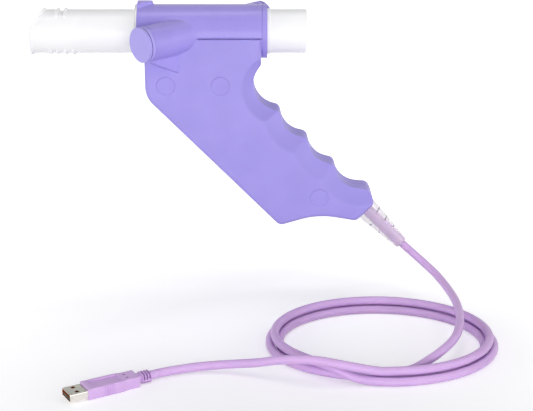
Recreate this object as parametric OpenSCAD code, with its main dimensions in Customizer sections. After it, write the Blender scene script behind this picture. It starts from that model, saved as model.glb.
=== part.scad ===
// Ultrasonic spirometer handset. A disposable breathing tube slides through a
// sensor barrel, where two transducers look across the breath at each other.
// A lean pistol grip of two shells carries the barrel and the circuit board,
// and a cord in three loose turns runs to a USB plug.
// Millimetres. The origin is the middle of the grip, +X is the way the breath
// leaves the tube, -Y faces the front shell and +Z is up.

/* [Breathing tube] */
// Outer diameter of the tube
tube_od = 28; // [24:0.5:31]
// Wall of the tube
tube_wall = 1.2; // [0.8:0.1:1.8]
// Mouth end, measured from the middle of the barrel
mouth_reach = 110.6; // [95:1:130]
// Outlet end, measured from the middle of the barrel
outlet_reach = 67.2; // [58:1:90]
// How far the lands and the collar stand above the tube
land_rise = 0.55; // [0.3:0.05:0.9]
// Radial clearance between the lands and the barrel
slide_clearance = 0.06; // [0.03:0.01:0.1]
// Width of the flange that stops against the barrel
stop_flange_w = 1.7; // [1.2:0.1:2.5]
// Width of the collar that shows past the barrel
collar_w = 1.9; // [1.2:0.1:2.5]
// Length of the bevel at the mouth, along the tube
bevel_run = 8.6; // [5:0.2:12]
// Height of the bevel at the mouth, down from the top
bevel_drop = 11.2; // [7:0.2:14]
// Width of the raised lip at the mouth
lip_w = 1.6; // [1:0.1:2.5]
// Distance between two bite ridges
ridge_pitch = 5.1; // [4:0.1:6.5]
// Height of a bite ridge
ridge_rise = 1.1; // [0.6:0.1:1.4]
// Diameter of the windows that the sound passes
window_d = 15; // [12:0.5:17]

/* [Sensor barrel] */
// Length of the barrel
barrel_len = 84; // [76:1:96]
// Wall of the barrel
barrel_wall = 2.69; // [2.2:0.05:3.4]
// Width of the ring at the outlet end
end_ring_w = 3; // [2:0.2:5]
// Gap between the end ring and the barrel
end_ring_gap = 0.3; // [0.2:0.05:0.5]
// Length of the arrow pad
pad_l = 10.4; // [8:0.2:16]
// Width of the arrow pad
pad_w = 16; // [10:1:20]
// Height of the arrow pad above the barrel
pad_rise = 2.4; // [1:0.2:3.5]

/* [Transducer housings] */
// Angle between the sound path and the tube, seen from above
cross_angle = 41; // [38:1:46]
// Dip of the front housing and rise of the rear one
housing_tilt = 4; // [0:0.5:6]
// Outer face of a cap, from the middle of the barrel
housing_reach = 49; // [47:0.5:54]
// Diameter of a housing
housing_od = 22.2; // [21:0.2:24]
// Thickness of a cap
cap_t = 3; // [2:0.2:4]
// Groove between a cap and its housing
cap_gap = 0.5; // [0.3:0.1:1]
// Diameter of a transducer
transducer_d = 15.2; // [13:0.2:16]
// Share of the room in a housing, from the sound window to the cap, that a transducer fills
transducer_share = 0.71; // [0.6:0.01:0.73]
// Width of the duct that takes the leads into the grip
duct_w = 7.6; // [6:0.2:9]

/* [Handle] */
// Thickness of the handle across both shells
handle_t = 36; // [34:0.5:42]
// Wall of a shell
shell_wall = 2.6; // [2:0.1:3]
// Lean of the grip below level
grip_lean = 45; // [42:1:48]
// Palm face, from the grip's axis
palm_off = 24.7; // [23:0.2:28]
// Corners of the finger crests, from the grip's axis
crest_off = 29.3; // [27.5:0.1:31]
// Distance between two finger crests
finger_pitch = 25.8; // [25:0.1:26.6]
// Depth of the finger zigzag before its corners are rounded
finger_zigzag = 7.8; // [6:0.1:9]
// Left face of the head, from the middle of the barrel
head_left = 36.7; // [35:0.2:40]
// Right face of the head, from the middle of the barrel
head_right = 38; // [36:0.2:39]
// How far a finger scoop reaches into the face, from its groove
scoop_reach = 10.4; // [6:0.2:10.8]
// Depth of a finger scoop at its groove, from the face
scoop_depth = 8; // [4:0.2:9]
// Top edge of the shells, below the barrel's axis
head_drop = 2.4; // [1:0.1:5]
// Depth of the first finger groove behind the head, before its corner is rounded
web_in = 15.3; // [14.6:0.1:16.2]
// Barrel's axis above the middle of the grip
barrel_up = 62; // [60:0.5:66]
// Middle of the barrel behind the middle of the grip
barrel_back = 20; // [19:0.5:22]
// Lowest corner of the foot, below the middle of the grip
foot_drop = 65; // [63:0.5:67]
// Right face of the foot, from the middle of the grip
foot_reach = 93; // [92:0.2:94]

/* [Screws] */
// Diameter of a screw plug
plug_d = 11.8; // [10:0.2:13]
// Thickness of a screw plug
plug_t = 2.4; // [1.6:0.1:3]
// Diameter of a shell screw
screw_d = 3; // [2.5:0.1:3.5]
// Length of a shell screw under its head
screw_l = 22; // [18:0.5:24]
// Upper screws, below the barrel's axis
upper_screw_drop = 32.5; // [31:0.5:34]
// Left upper screw, from the middle of the barrel
screw_left = 23.3; // [20:0.1:25]
// Right upper screw, from the middle of the barrel
screw_right = 11.8; // [10:0.1:14]

/* [Circuit board] */
// Length of the board along the grip
board_l = 74; // [66:1:76]
// Width of the board
board_w = 34; // [30:1:36]
// Thickness of the board
board_t = 1.6; // [1:0.1:2]

/* [Cord] */
// Diameter of the cord
cable_d = 5.3; // [4.6:0.1:5.4]
// Length of the strain relief outside the handle
relief_l = 37; // [30:1:42]
// Diameter of the strain relief at the handle
relief_d = 15.4; // [13:0.2:16]
// Diameter of the strain relief at its tip
relief_tip_d = 8.7; // [7.6:0.1:10]

/* [Plug] */
// Width of the plug's shell
shell_w = 12; // [11.8:0.1:12.2]
// Height of the plug's shell
shell_h = 4.5; // [4.3:0.1:4.7]
// Length of the plug's shell outside the grip body
shell_l = 11; // [10:0.5:13]
// Sheet of the plug's shell
shell_sheet = 0.3; // [0.25:0.05:0.4]
// Width of the plug's body
body_w = 13.1; // [12.8:0.1:16]
// Height of the plug's body
body_h = 6.65; // [6.2:0.05:8.4]
// Length of the plug's body
body_l = 32.5; // [26:0.5:36]

/* [Hidden] */
$fn = 64;

// Shared fits: between fixed pieces, and how far a cut runs past a face
fit = 0.05;
over = 1;

// Tube and barrel
tube_r = tube_od / 2;
bore_r = tube_r - tube_wall;
land_r = tube_r + land_rise;
barrel_bore_r = land_r + slide_clearance;
barrel_r = barrel_bore_r + barrel_wall;
barrel_half = barrel_len / 2;
barrel_at = [-barrel_back, 0, barrel_up];
land_l = 8;
ridge_w = 1.6;
recess_depth = 0.5;
ridge_half_share = 0.68;
first_ridge_share = 2.33;
recess_half_share = 0.55;
mesh_t = 0.7;
window_r = window_d / 2;
spigot_wall = 1.4;
pad_tip_r = 2.2;
pad_base_r = 1;

// Transducer housings: distances along the sound path from the middle
housing_r = housing_od / 2;
transducer_r = transducer_d / 2;
ring_t = 1;
pocket_r = transducer_r + ring_t + 2 * fit;
ring_share = 0.65;
cap_neck_r = housing_r - cap_gap * 2;
cap_spigot_l = 1.4;
housing_end = housing_reach - cap_t - cap_gap;
cap_edge = 0.8;
pin_r = 0.4;
pin_l = 1.4;
pin_out = 2;
face_layer = 1;
face_rim = 0.6;
face_gap = 0.4;
face_at = (barrel_bore_r + transducer_r * cos(cross_angle)) / sin(cross_angle) + face_gap;
transducer_room = housing_end - face_at;
transducer_l = transducer_share * transducer_room;

// Duct under each housing, along the level direction of the sound path
duct_in = 16;
duct_low = barrel_r + 9.65;
duct_floor = 4.7;
duct_skin = 0.2;
duct_end = housing_end * cos(housing_tilt) - (housing_r + duct_skin) * sin(housing_tilt);
lead_r = 0.7;
lead_hole_r = 1.5;
lead_back_share = 0.63;
lead_back = lead_back_share * (transducer_room - transducer_l);
lead_rise = 0.8;
front_lead_points = [[-26, -9, 33], [-17, -9, 22], [-11, -9, 9]];
rear_lead_points = [[-10.5, 7.5, 37.5], [-6, 5, 35.2], [-2.4, 4.6, 31.5], [0.6, 4, 26.5],
    [0.6, 0, 25], [0.6, -6, 20]];

// Grip frame: u runs down the grip, v points to the fingers
function grip(u, v) = [u * cos(grip_lean) + v * sin(grip_lean),
    -u * sin(grip_lean) + v * cos(grip_lean)];
head_l_x = -barrel_back - head_left;
head_r_x = -barrel_back + head_right;
head_top = barrel_up - head_drop;
valley_u = -0.2;
crest_u = valley_u + finger_pitch / 2;
toe_u = 101;
toe_wall = 6;
toe_lift = 3.2;
toe_crest_share = 3.59;
toe_crest_rise = 4.2;
arch_rise = 7.4;
shoulder_share = 2.004;
web_rise_share = 0.422;
web_round_share = 0.62;
palm_round = 16;
heel_round = 5;
arch_round = 50;
toe_round = 4.5;
crest_round = 5;
valley_round = 16;
shoulder_round = 4;
seam = 0.1;
corner_steps = 6;

// Corners of the handle's side view, each [x, z, rounding]
function with_r(p, r) = [p[0], p[1], r];
palm_bend_u = (head_l_x + palm_off * sin(grip_lean)) / cos(grip_lean);
heel_u = (foot_drop - palm_off * cos(grip_lean)) / sin(grip_lean);
toe_low_v = (toe_u * sin(grip_lean) - foot_drop + toe_lift) / cos(grip_lean);
toe_high_v = (foot_reach - toe_u * cos(grip_lean)) / sin(grip_lean);
valley_v = crest_off - finger_zigzag;
heel = grip(heel_u, -palm_off);
toe = grip(toe_u, toe_low_v);
first_crest = grip(crest_u, crest_off);
web_point = [head_r_x - web_in, first_crest[1] + web_rise_share * web_in];
web_round = web_round_share * norm(web_point - first_crest);
handle_corners = concat(
    [[head_l_x, head_top + over, 0]],
    [with_r(grip(palm_bend_u, -palm_off), palm_round)],
    [with_r(heel, heel_round)],
    [[(heel[0] + toe[0]) / 2, -foot_drop + arch_rise, arch_round]],
    [with_r(toe, toe_round)],
    [with_r(grip(toe_u, toe_high_v), toe_round)],
    [with_r(grip(valley_u + toe_crest_share * finger_pitch, crest_off + toe_crest_rise), crest_round)],
    [with_r(grip(valley_u + 3 * finger_pitch, valley_v), valley_round)],
    [for (k = [2, 1]) each [
        with_r(grip(crest_u + k * finger_pitch, crest_off), crest_round),
        with_r(grip(valley_u + k * finger_pitch, valley_v), valley_round)]],
    [with_r(first_crest, crest_round)],
    [with_r(web_point, web_round)],
    [[head_r_x, first_crest[1] + shoulder_share * web_in, shoulder_round]],
    [[head_r_x, head_top + over, 0]]);

// Scoops: corners that are grooves, and how the first one's scoop is shifted and widened
groove_corners = [7, 9, 11];
web_corner = 13;
web_scoop_shift = [-1.1, -2];
web_scoop_share = 0.78;
scoop_wall = 3.4;
scoop_past = 1;

// Screws and bosses
plug_r = plug_d / 2;
screw_r = screw_d / 2;
head_r = 2.8;
head_h = 2.4;
head_play = 0.6;
head_seat = handle_t / 2 - plug_t - head_h - head_play;
boss_r = 4;
boss_wall = 1.7;
seat_t = 2;
lower_screw_u = 71.7;
lower_screw_v = 7.6;
screw_xz = [[-barrel_back - screw_left, barrel_up - upper_screw_drop],
    [-barrel_back + screw_right, barrel_up - upper_screw_drop],
    grip(lower_screw_u, lower_screw_v)];
foot_t = 6;
foot_side = 6.5;

// Circuit board, in the grip frame
board_u = 23;
board_v = 1;
board_y = 0.8;
post_r = 3;
board_screw_r = 1;
board_screw_l = 7;
board_screw_h = 1.2;
post_in = 4;
board_posts = [[board_u - board_l / 2 + post_in, board_v - board_w / 2 + post_in],
    [board_u - board_l / 2 + post_in, board_v + board_w / 2 - post_in],
    [board_u + board_l / 2 - post_in, board_v - board_w / 2 + post_in]];
chip_gap = 0.05;
// Places on the board as shares of its length and width, from its middle
processor_share = [0.015, 0.03];
driver_share = [-0.23, 0];
interface_share = [0.26, 0.18];
crystal_share = [0.16, -0.26];
lead_header_shares = [[-0.39, -0.15], [-0.39, 0.15]];
cable_header_share = [0.43, 0.26];
processor_size = [10, 1.5, 10];
driver_size = [8, 1.4, 6];
interface_size = [6, 1.2, 6];
crystal_size = [11, 3.5, 4.6];
lead_header_size = [6, 4, 4.4];
cable_header_size = [8, 2, 12];
connector_size = [8, 5.5, 11];
function board_place(share) = [board_u + share[0] * board_l, board_v + share[1] * board_w];
cable_header_at = board_place(cable_header_share);

// Strain relief and tail, in the grip frame
cable_r = cable_d / 2;
cable_v = 21.5;
relief_end_u = toe_u + relief_l;
relief_neck_r = relief_d / 2 - 1.7;
relief_flange_r = relief_neck_r + 1;
relief_flange_t = 4;
relief_cuff_l = 3;
slot_w = 2.4;
slot_pitch = 8;
// Tail's points inside the handle: share of the way from the connector to the strain relief,
// then towards the back and towards the fingers
tail_shares = [[1, 0, 21.5], [0.82, 0, 21.5], [0.72, 0, 20.6], [0.57, -0.2, 19.2], [0.49, -0.4, 17.6],
    [0.31, -1.4, 15.9], [0.18, -2.6, 13.1], [0.08, -3.6, 10.6]];
tail_in = 3;
connector_low = board_y - 2 * chip_gap - cable_header_size[1];
tail_end = [cable_header_at[0] + connector_size[0] / 2 + chip_gap, connector_low - connector_size[1] / 2,
    cable_header_at[1]];
tail_points = [for (t = tail_shares) [tail_end[0] + t[0] * (toe_u - tail_in - tail_end[0]), t[1], t[2]]];

// Cord: where it lies on the table, and its loose coil of three turns
table_z = -120;
coil_mid = [92.9, -87.3];
coil_half = [69.5, 58.7];
coil_step = 6.1;
coil_turns = 3;
rings_per_turn = 24;
lie_z = table_z + cable_r;
coil_in = [1, 0.1, 0.1];
drop_points = [[122.5, -1, -91], [129, -5, -96], [136, -15, -100.5], [141, -31, -103.5],
    [143.5, -50, -104.5], [143.5, -69, -105.2], [141, -88, -106.2], [135.5, -105, -107.8],
    [125.5, -119, -110.3], [115, -128, -113.2], [107, -132.2, -115.6]];
lead_points = [[78, -144, -110], [64, -144, -107.2], [52, -143, -105.4], [40, -140, -105.8],
    [28, -136, -108.2], [16, -132.2, -111.4], [4, -128.6, -113.8], [-8, -126.8, -115.4],
    [-20, -127.4, -116.3], [-30, -130.2, -116.6], [-38, -133.3, -116.7]];

// Plug, along its own axis from the cord to the mouth
plug_yaw = 210.5;
plug_at = [-42.3, -135.5, table_z + body_h / 2];
neck_l = 14;
neck_r = 3.1;
neck_block = [9.6, 8, 6.2];
neck_block_at = 2.6;
neck_slot_w = 0.9;
neck_slot_depth = 1;
neck_slot_pitch = 2.4;
body_round = 1.1;
body_rear_w = body_w - 1.8;
body_rear_round = 2.4;
body_waist_round = 6;
body_front_round = 1.4;
waist_shares = [0.45, 0.6];
panel_l = 15;
panel_w = 7.4;
panel_depth = 0.35;
panel_share = 0.62;
tongue_h = 1.8;
tongue_l = 9.6;
contact_w = 1;
contact_t = 0.15;
contact_pitch = 2.4;
contact_back = 2.2;
mouth_step = 1.2;
latch_hole = 2.3;

// Small vector helpers
function unit(v) = v / norm(v);
function ease(t, a, b) = let (x = min(1, max(0, (t - a) / (b - a)))) x * x * (3 - 2 * x);
function turn_to(a, b) = ((b - a + 540) % 360) - 180;

// Middle of the rounding at b between a and c
function corner_mid(a, b, c, r) =
    let (e1 = unit([a[0] - b[0], a[1] - b[1]]),
        e2 = unit([c[0] - b[0], c[1] - b[1]]))
    [b[0], b[1]] + unit(e1 + e2) * r / sin(acos(e1 * e2) / 2);
// Rounded corner at b between a and c, moved inwards by d along its normals
function corner(a, b, c, r, d) =
    let (e1 = unit([a[0] - b[0], a[1] - b[1]]),
        e2 = unit([c[0] - b[0], c[1] - b[1]]),
        half = acos(e1 * e2) / 2,
        side = sign(e2[0] * e1[1] - e2[1] * e1[0]),
        mid = corner_mid(a, b, c, r),
        p1 = [b[0], b[1]] + e1 * r / tan(half) - mid,
        p2 = [b[0], b[1]] + e2 * r / tan(half) - mid,
        a1 = atan2(p1[1], p1[0]),
        sweep = turn_to(a1, atan2(p2[1], p2[0])))
    [for (i = [0:corner_steps]) mid + (r - side * d)
        * [cos(a1 + sweep * i / corner_steps), sin(a1 + sweep * i / corner_steps)]];
function outline(corners, d) = let (n = len(corners)) [for (i = [0:n - 1])
    each corner(corners[(i + n - 1) % n], corners[i], corners[(i + 1) % n], corners[i][2], d)];

// Closed skin over rings of points, each ring with as many points as the next
module skin(rings) {
    n = len(rings[0]);
    m = len(rings);
    sides = [for (k = [0:m - 2]) for (i = [0:n - 1]) let (j = (i + 1) % n)
        each [[k * n + i, k * n + n + i, k * n + n + j], [k * n + i, k * n + n + j, k * n + j]]];
    polyhedron(points = [for (ring = rings) each ring],
        faces = concat([[for (i = [0:n - 1]) i]], sides, [[for (i = [n - 1:-1:0]) (m - 1) * n + i]]),
        convexity = 8);
}

// Directions along a route, with the first and the last one given
function tangents(pts, first, last) = let (m = len(pts) - 1) [for (i = [0:m])
    i == 0 ? unit(first) : i == m ? unit(last) : unit(pts[i + 1] - pts[i - 1])];
// One normal carried along those directions without twisting
function normals(t, ref) = [for (i = 0, n = unit(ref - (ref * t[0]) * t[0]); i < len(t);
    i = i + 1, n = i < len(t) ? unit(n - (n * t[i]) * t[i]) : n) n];
module cable(pts, first, last, r, sides, ref = [0, 0, 1]) {
    t = tangents(pts, first, last);
    n = normals(t, ref);
    skin([for (i = [0:len(pts) - 1]) let (b = cross(t[i], n[i]))
        [for (k = [0:sides - 1]) pts[i] + r * (cos(360 * k / sides) * n[i] + sin(360 * k / sides) * b)]]);
}
// Smooth curve through hand-placed points, with steps between each pair
function bend(p0, p1, p2, p3, x) = p1 + 0.5 * x * ((p2 - p0)
    + x * ((2 * p0 - 5 * p1 + 4 * p2 - p3) + x * (3 * (p1 - p2) + p3 - p0)));
function smooth(p, steps) = let (m = len(p) - 1) concat([for (i = [0:m - 1]) for (s = [0:steps - 1])
    bend(p[max(0, i - 1)], p[i], p[i + 1], p[min(m, i + 2)], s / steps)], [p[m]]);

// Places
module x_cyl(x0, x1, r) {
    translate([x0, 0, 0]) rotate([0, 90, 0]) cylinder(r = r, h = x1 - x0);
}
module y_cyl(xz, y0, y1, r) {
    translate([xz[0], y1, xz[1]]) rotate([90, 0, 0]) cylinder(r = r, h = y1 - y0);
}
module at_barrel() {
    translate(barrel_at) children();
}
// Front is the housing towards -Y, the rear one is straight across the tube
module along_sound(front) {
    at_barrel() rotate([0, 0, cross_angle + (front ? 180 : 0)])
        rotate([0, 90 + (front ? 1 : -1) * housing_tilt, 0]) children();
}
module along_duct(front) {
    at_barrel() rotate([0, 0, cross_angle + (front ? 180 : 0)]) children();
}
function axis_z(front, s) = (front ? -1 : 1) * s * sin(housing_tilt);
// A point given along the duct, across it and up, in the part's frame
function duct_point(front, s, z) = barrel_at
    + [(front ? -1 : 1) * s * cos(cross_angle), (front ? -1 : 1) * s * sin(cross_angle), z];
module in_grip() {
    rotate([0, grip_lean, 0]) children();
}
function from_grip(p) = [grip(p[0], p[2])[0], p[1], grip(p[0], p[2])[1]];

// Side view of the handle, open along the head, moved inwards by d
function side_line(d, top) = let (c = handle_corners, n = len(c)) concat([[head_l_x + d, top]],
    [for (i = [1:n - 2]) each corner(c[i - 1], c[i], c[i + 1], c[i][2], d)], [[head_r_x - d, top]]);
// The room inside stops short of the strain relief
function room_edge(p) = grip(min(p[0] * cos(grip_lean) - p[1] * sin(grip_lean), toe_u - toe_wall),
    p[0] * sin(grip_lean) + p[1] * cos(grip_lean));
module handle_half() {
    depth = handle_t / 2 - seam / 2;
    difference() {
        translate([0, -seam / 2, 0]) rotate([90, 0, 0]) linear_extrude(depth)
            polygon(side_line(0, head_top));
        difference() {
            translate([0, over, 0]) rotate([90, 0, 0]) linear_extrude(handle_t / 2 - shell_wall + over)
                polygon([for (p = side_line(shell_wall, head_top + over)) room_edge(p)]);
            scoops(scoop_wall);
        }
    }
}
// Cones that flare the finger grooves towards the face, grown by a gap
module scoops(gap) {
    c = handle_corners;
    for (i = groove_corners)
        scoop(corner_mid(c[i - 1], c[i], c[i + 1], c[i][2]), c[i][2], 1, gap);
    w = web_corner;
    scoop(corner_mid(c[w - 1], c[w], c[w + 1], c[w][2]) + web_scoop_shift, c[w][2] - norm(web_scoop_shift),
        web_scoop_share, gap);
}
module scoop(mid, r, share, gap) {
    slope = share * scoop_reach / scoop_depth;
    translate([mid[0], -handle_t / 2 - over, mid[1]]) rotate([-90, 0, 0])
        cylinder(r1 = r + gap + slope * (scoop_depth + over), r2 = r + gap - slope * scoop_past,
            h = scoop_depth + over + scoop_past);
}
// What the barrel takes out of the shells: its body, a housing and a duct
module barrel_room(front) {
    at_barrel() x_cyl(-barrel_half, barrel_half, barrel_r + fit);
    along_sound(front) cylinder(r = housing_r + fit, h = housing_reach);
    duct(front, fit);
}
module duct(front, gap) {
    tip_z = axis_z(front, housing_end) - housing_r - duct_skin;
    along_duct(front) rotate([90, 0, 0]) linear_extrude(duct_w + 2 * gap, center = true)
        polygon([[duct_in - gap, -barrel_r / 2], [duct_end, axis_z(front, housing_end) - housing_r / 2],
            [duct_end, tip_z - gap], [duct_in - gap, -duct_low - gap]]);
}
// A place in the upright plane of the sound path: out along it, and down square to it
function sound_place(front, s, down) = [s * cos(housing_tilt) + (front ? -1 : 1) * down * sin(housing_tilt),
    axis_z(front, s) - down * cos(housing_tilt)];
function sound_point(front, s, down) = let (p = sound_place(front, s, down)) duct_point(front, p[0], p[1]);
// Upper end of the lead's hole, just behind the transducer
function lead_top(front) = sound_place(front, housing_end - lead_back, pocket_r - lead_rise);
module lead_hole(front) {
    top = lead_top(front);
    low = [duct_in - over, -duct_low + duct_floor];
    run = top - low;
    along_duct(front) translate([low[0], 0, low[1]])
        rotate([0, 90 - atan2(run[1], run[0]), 0]) cylinder(r = lead_hole_r, h = norm(run));
}

module handle_front_shell() {
    color("#aa9deb") difference() {
        union() {
            handle_half();
            for (p = screw_xz) {
                y_cyl(p, -handle_t / 2 + plug_t, -head_seat + seat_t, plug_r + boss_wall);
                y_cyl(p, -head_seat, -seam / 2, boss_r);
            }
        }
        barrel_room(true);
        scoops(0);
        for (p = screw_xz) {
            y_cyl(p, -handle_t / 2 - over, -handle_t / 2 + plug_t, plug_r + fit);
            y_cyl(p, -handle_t / 2, -head_seat, head_r + 2 * fit);
            y_cyl(p, -handle_t / 2, over, screw_r + 2 * fit);
        }
        relief_room();
    }
}
module handle_back_shell() {
    color("#a295e2") difference() {
        union() {
            mirror([0, 1, 0]) handle_half();
            for (p = screw_xz)
                y_cyl(p, seam / 2, handle_t / 2 - shell_wall / 2, boss_r);
            for (p = board_posts)
                y_cyl(grip(p[0], p[1]), board_y + board_t + chip_gap, handle_t / 2 - shell_wall / 2, post_r);
        }
        barrel_room(false);
        mirror([0, 1, 0]) scoops(0);
        for (p = screw_xz)
            y_cyl(p, -over, screw_l - head_seat + over, screw_r + fit);
        for (p = board_posts)
            y_cyl(grip(p[0], p[1]), 0, board_y + board_screw_l + over, board_screw_r + fit);
        relief_room();
    }
}
module relief_room() {
    in_grip() translate([0, 0, cable_v]) x_cyl(toe_u - toe_wall - over, toe_u + over, relief_neck_r + fit);
}

module sensor_barrel() {
    color("#aa9deb") difference() {
        union() {
            at_barrel() {
                x_cyl(-barrel_half, barrel_half - end_ring_w - end_ring_gap, barrel_r);
                x_cyl(0, barrel_half, barrel_r - spigot_wall);
                arrow_pad();
            }
            for (front = [true, false]) {
                along_sound(front) cylinder(r = housing_r, h = housing_end);
                duct(front, 0);
            }
            translate([screw_xz[0][0] - foot_side, -foot_t / 2, screw_xz[0][1] - foot_side])
                cube([screw_xz[1][0] - screw_xz[0][0] + 2 * foot_side, foot_t,
                    upper_screw_drop + foot_side - barrel_r + barrel_wall / 2]);
        }
        at_barrel() x_cyl(-barrel_half - over, barrel_half + over, barrel_bore_r);
        for (front = [true, false]) {
            along_sound(front) {
                cylinder(r = window_r, h = housing_end);
                translate([0, 0, face_at]) cylinder(r = pocket_r, h = housing_reach);
            }
            lead_hole(front);
        }
        for (k = [0, 1])
            y_cyl(screw_xz[k], -foot_t, foot_t, boss_r + 2 * fit);
    }
}
module arrow_pad() {
    intersection() {
        x_cyl(-barrel_half, 0, barrel_r + pad_rise);
        translate([0, 0, barrel_bore_r / 2]) linear_extrude(barrel_r + pad_rise)
            polygon(outline([[-barrel_half, -pad_w / 2, pad_base_r],
                [-barrel_half + pad_l + pad_tip_r, 0, pad_tip_r], [-barrel_half, pad_w / 2, pad_base_r]], 0));
    }
}
module barrel_end_ring() {
    color("#a295e2") at_barrel() difference() {
        x_cyl(barrel_half - end_ring_w, barrel_half, barrel_r);
        x_cyl(0, barrel_half + over, barrel_r - spigot_wall + fit);
    }
}

module transducer_cap(front) {
    color("#aa9deb") along_sound(front) {
        translate([0, 0, housing_reach - cap_t]) rotate_extrude()
            polygon([[0, 0], [housing_r, 0], [housing_r, cap_t - cap_edge],
                [housing_r - cap_edge / 3, cap_t - cap_edge / 3], [housing_r - cap_edge, cap_t], [0, cap_t]]);
        translate([0, 0, housing_end + fit]) cylinder(r = cap_neck_r, h = cap_gap);
        translate([0, 0, housing_end - cap_spigot_l]) cylinder(r = pocket_r - fit, h = cap_spigot_l + cap_t);
    }
}
module front_transducer_cap() {
    transducer_cap(true);
}
module rear_transducer_cap() {
    transducer_cap(false);
}
module transducer(front) {
    color("#c9ccd2") along_sound(front) translate([0, 0, face_at]) {
        cylinder(r = transducer_r - face_rim, h = transducer_l);
        translate([0, 0, face_layer]) cylinder(r = transducer_r, h = transducer_l - face_layer);
        for (side = [-1, 1])
            translate([0, side * pin_out, transducer_l - over])
                cylinder(r = pin_r, h = pin_l + over, $fn = 24);
    }
}
module front_transducer() {
    transducer(true);
}
module rear_transducer() {
    transducer(false);
}
module transducer_ring(front) {
    color("#3a3a40") along_sound(front) translate([0, 0, face_at + fit]) difference() {
        cylinder(r = pocket_r - fit, h = ring_share * transducer_l);
        translate([0, 0, -over]) cylinder(r = transducer_r + fit, h = transducer_l);
    }
}
module front_transducer_ring() {
    transducer_ring(true);
}
module rear_transducer_ring() {
    transducer_ring(false);
}

// Lead from behind a transducer, down the duct's hole and into its header
module transducer_lead(front, turns) {
    s0 = face_at + transducer_l + fit;
    top = duct_point(front, lead_top(front)[0], lead_top(front)[1]);
    low = duct_point(front, duct_in, -duct_low + duct_floor);
    header = board_place(lead_header_shares[front ? 0 : 1]);
    foot = from_grip([header[0], board_y - 2 * chip_gap - lead_header_size[1], header[1]]);
    start = sound_point(front, s0 + lead_r, transducer_r / 3);
    knee = sound_point(front, s0 + lead_r + 2 * fit, pocket_r / 2);
    pts = concat([start, knee], [for (k = [0:4]) top + k / 4 * (low - top)],
        turns, [foot - [0, 4 * lead_r, 0], foot]);
    color("#e8e4da") cable(smooth(pts, 2), knee - start, [0, 1, 0], lead_r, 6, [1, 0, 3]);
}
module front_transducer_lead() {
    transducer_lead(true, front_lead_points);
}
module rear_transducer_lead() {
    transducer_lead(false, rear_lead_points);
}

// Region inside the mouth end, moved inwards by d along both of its faces
module behind_mouth(d) {
    slant = norm([bevel_run, bevel_drop]);
    high = 2 * tube_r;
    q = [-mouth_reach + d * bevel_drop / slant, tube_r - bevel_drop - d * bevel_run / slant];
    low_step = (-mouth_reach + d - q[0]) / bevel_run;
    high_step = (high - q[1]) / bevel_drop;
    rotate([90, 0, 0]) linear_extrude(2 * high, center = true)
        polygon([[outlet_reach + over, -high], [outlet_reach + over, high],
            [q[0] + high_step * bevel_run, high], [-mouth_reach + d, q[1] + low_step * bevel_drop],
            [-mouth_reach + d, -high]]);
}
module ridge(x, bottom) {
    intersection() {
        x_cyl(x, x + ridge_w, tube_r + ridge_rise);
        translate([x - over, -ridge_half_share * tube_r, bottom ? -2 * tube_r : 0])
            cube([2 * over + ridge_w, 2 * ridge_half_share * tube_r, 2 * tube_r]);
    }
}
module breathing_tube() {
    ridges_at = -mouth_reach + first_ridge_share * ridge_pitch;
    color("#f2f3f5") at_barrel() difference() {
        union() {
            intersection() {
                union() {
                    x_cyl(-mouth_reach, outlet_reach, tube_r);
                    difference() {
                        x_cyl(-mouth_reach, -mouth_reach + 2 * bevel_run, tube_r + ridge_rise);
                        behind_mouth(lip_w);
                    }
                }
                behind_mouth(0);
            }
            x_cyl(-barrel_half - stop_flange_w - fit, -barrel_half - fit, barrel_r);
            x_cyl(-barrel_half - stop_flange_w, -barrel_half + land_l, land_r);
            x_cyl(barrel_half - land_l, barrel_half + collar_w, land_r);
            for (k = [1, 2])
                ridge(ridges_at + k * ridge_pitch, false);
            for (k = [0:3])
                ridge(ridges_at + k * ridge_pitch, true);
        }
        x_cyl(-mouth_reach - over, outlet_reach + over, bore_r);
        difference() {
            translate([ridges_at + ridge_pitch + ridge_w + fit, -recess_half_share * tube_r, 0])
                cube([ridge_pitch - ridge_w - 2 * fit, 2 * recess_half_share * tube_r, 2 * tube_r]);
            x_cyl(-mouth_reach, 0, tube_r - recess_depth);
        }
        rotate([0, 0, cross_angle]) rotate([0, 90 - housing_tilt, 0])
            cylinder(r = window_r, h = 2 * housing_reach, center = true);
    }
}
module window_mesh(front) {
    color("#d9dbe0") intersection() {
        at_barrel() difference() {
            x_cyl(-barrel_half, barrel_half, bore_r + tube_wall / 2 + mesh_t / 2);
            x_cyl(-barrel_len, barrel_len, bore_r + tube_wall / 2 - mesh_t / 2);
        }
        along_sound(front) rotate([0, 0, front ? 45 : 0])
            cylinder(r = window_r - fit, h = housing_reach);
    }
}
module front_window_mesh() {
    window_mesh(true);
}
module rear_window_mesh() {
    window_mesh(false);
}

// Board pieces stand on the board's front face, in the grip frame
module on_board(place, size, lift = 0) {
    in_grip() translate([place[0], board_y - chip_gap - lift - size[1] / 2, place[1]])
        cube(size, center = true);
}
module circuit_board() {
    color("#1f6b43") difference() {
        in_grip() translate([board_u - board_l / 2, board_y, board_v - board_w / 2])
            cube([board_l, board_t, board_w]);
        for (p = board_posts)
            y_cyl(grip(p[0], p[1]), 0, handle_t / 2, board_screw_r + fit);
    }
}
module processor_chip() {
    color("#26272b") on_board(board_place(processor_share), processor_size);
}
module pulse_driver_chip() {
    color("#26272b") on_board(board_place(driver_share), driver_size);
}
module usb_interface_chip() {
    color("#26272b") on_board(board_place(interface_share), interface_size);
}
module crystal_can() {
    place = board_place(crystal_share);
    straight = crystal_size[0] - crystal_size[2];
    color("#c9ccd2") in_grip() translate([place[0], board_y - chip_gap, place[1]])
        rotate([90, 0, 0]) linear_extrude(crystal_size[1]) union() {
            square([straight, crystal_size[2]], center = true);
            for (side = [-1, 1])
                translate([side * straight / 2, 0]) circle(d = crystal_size[2]);
        }
}
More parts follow.
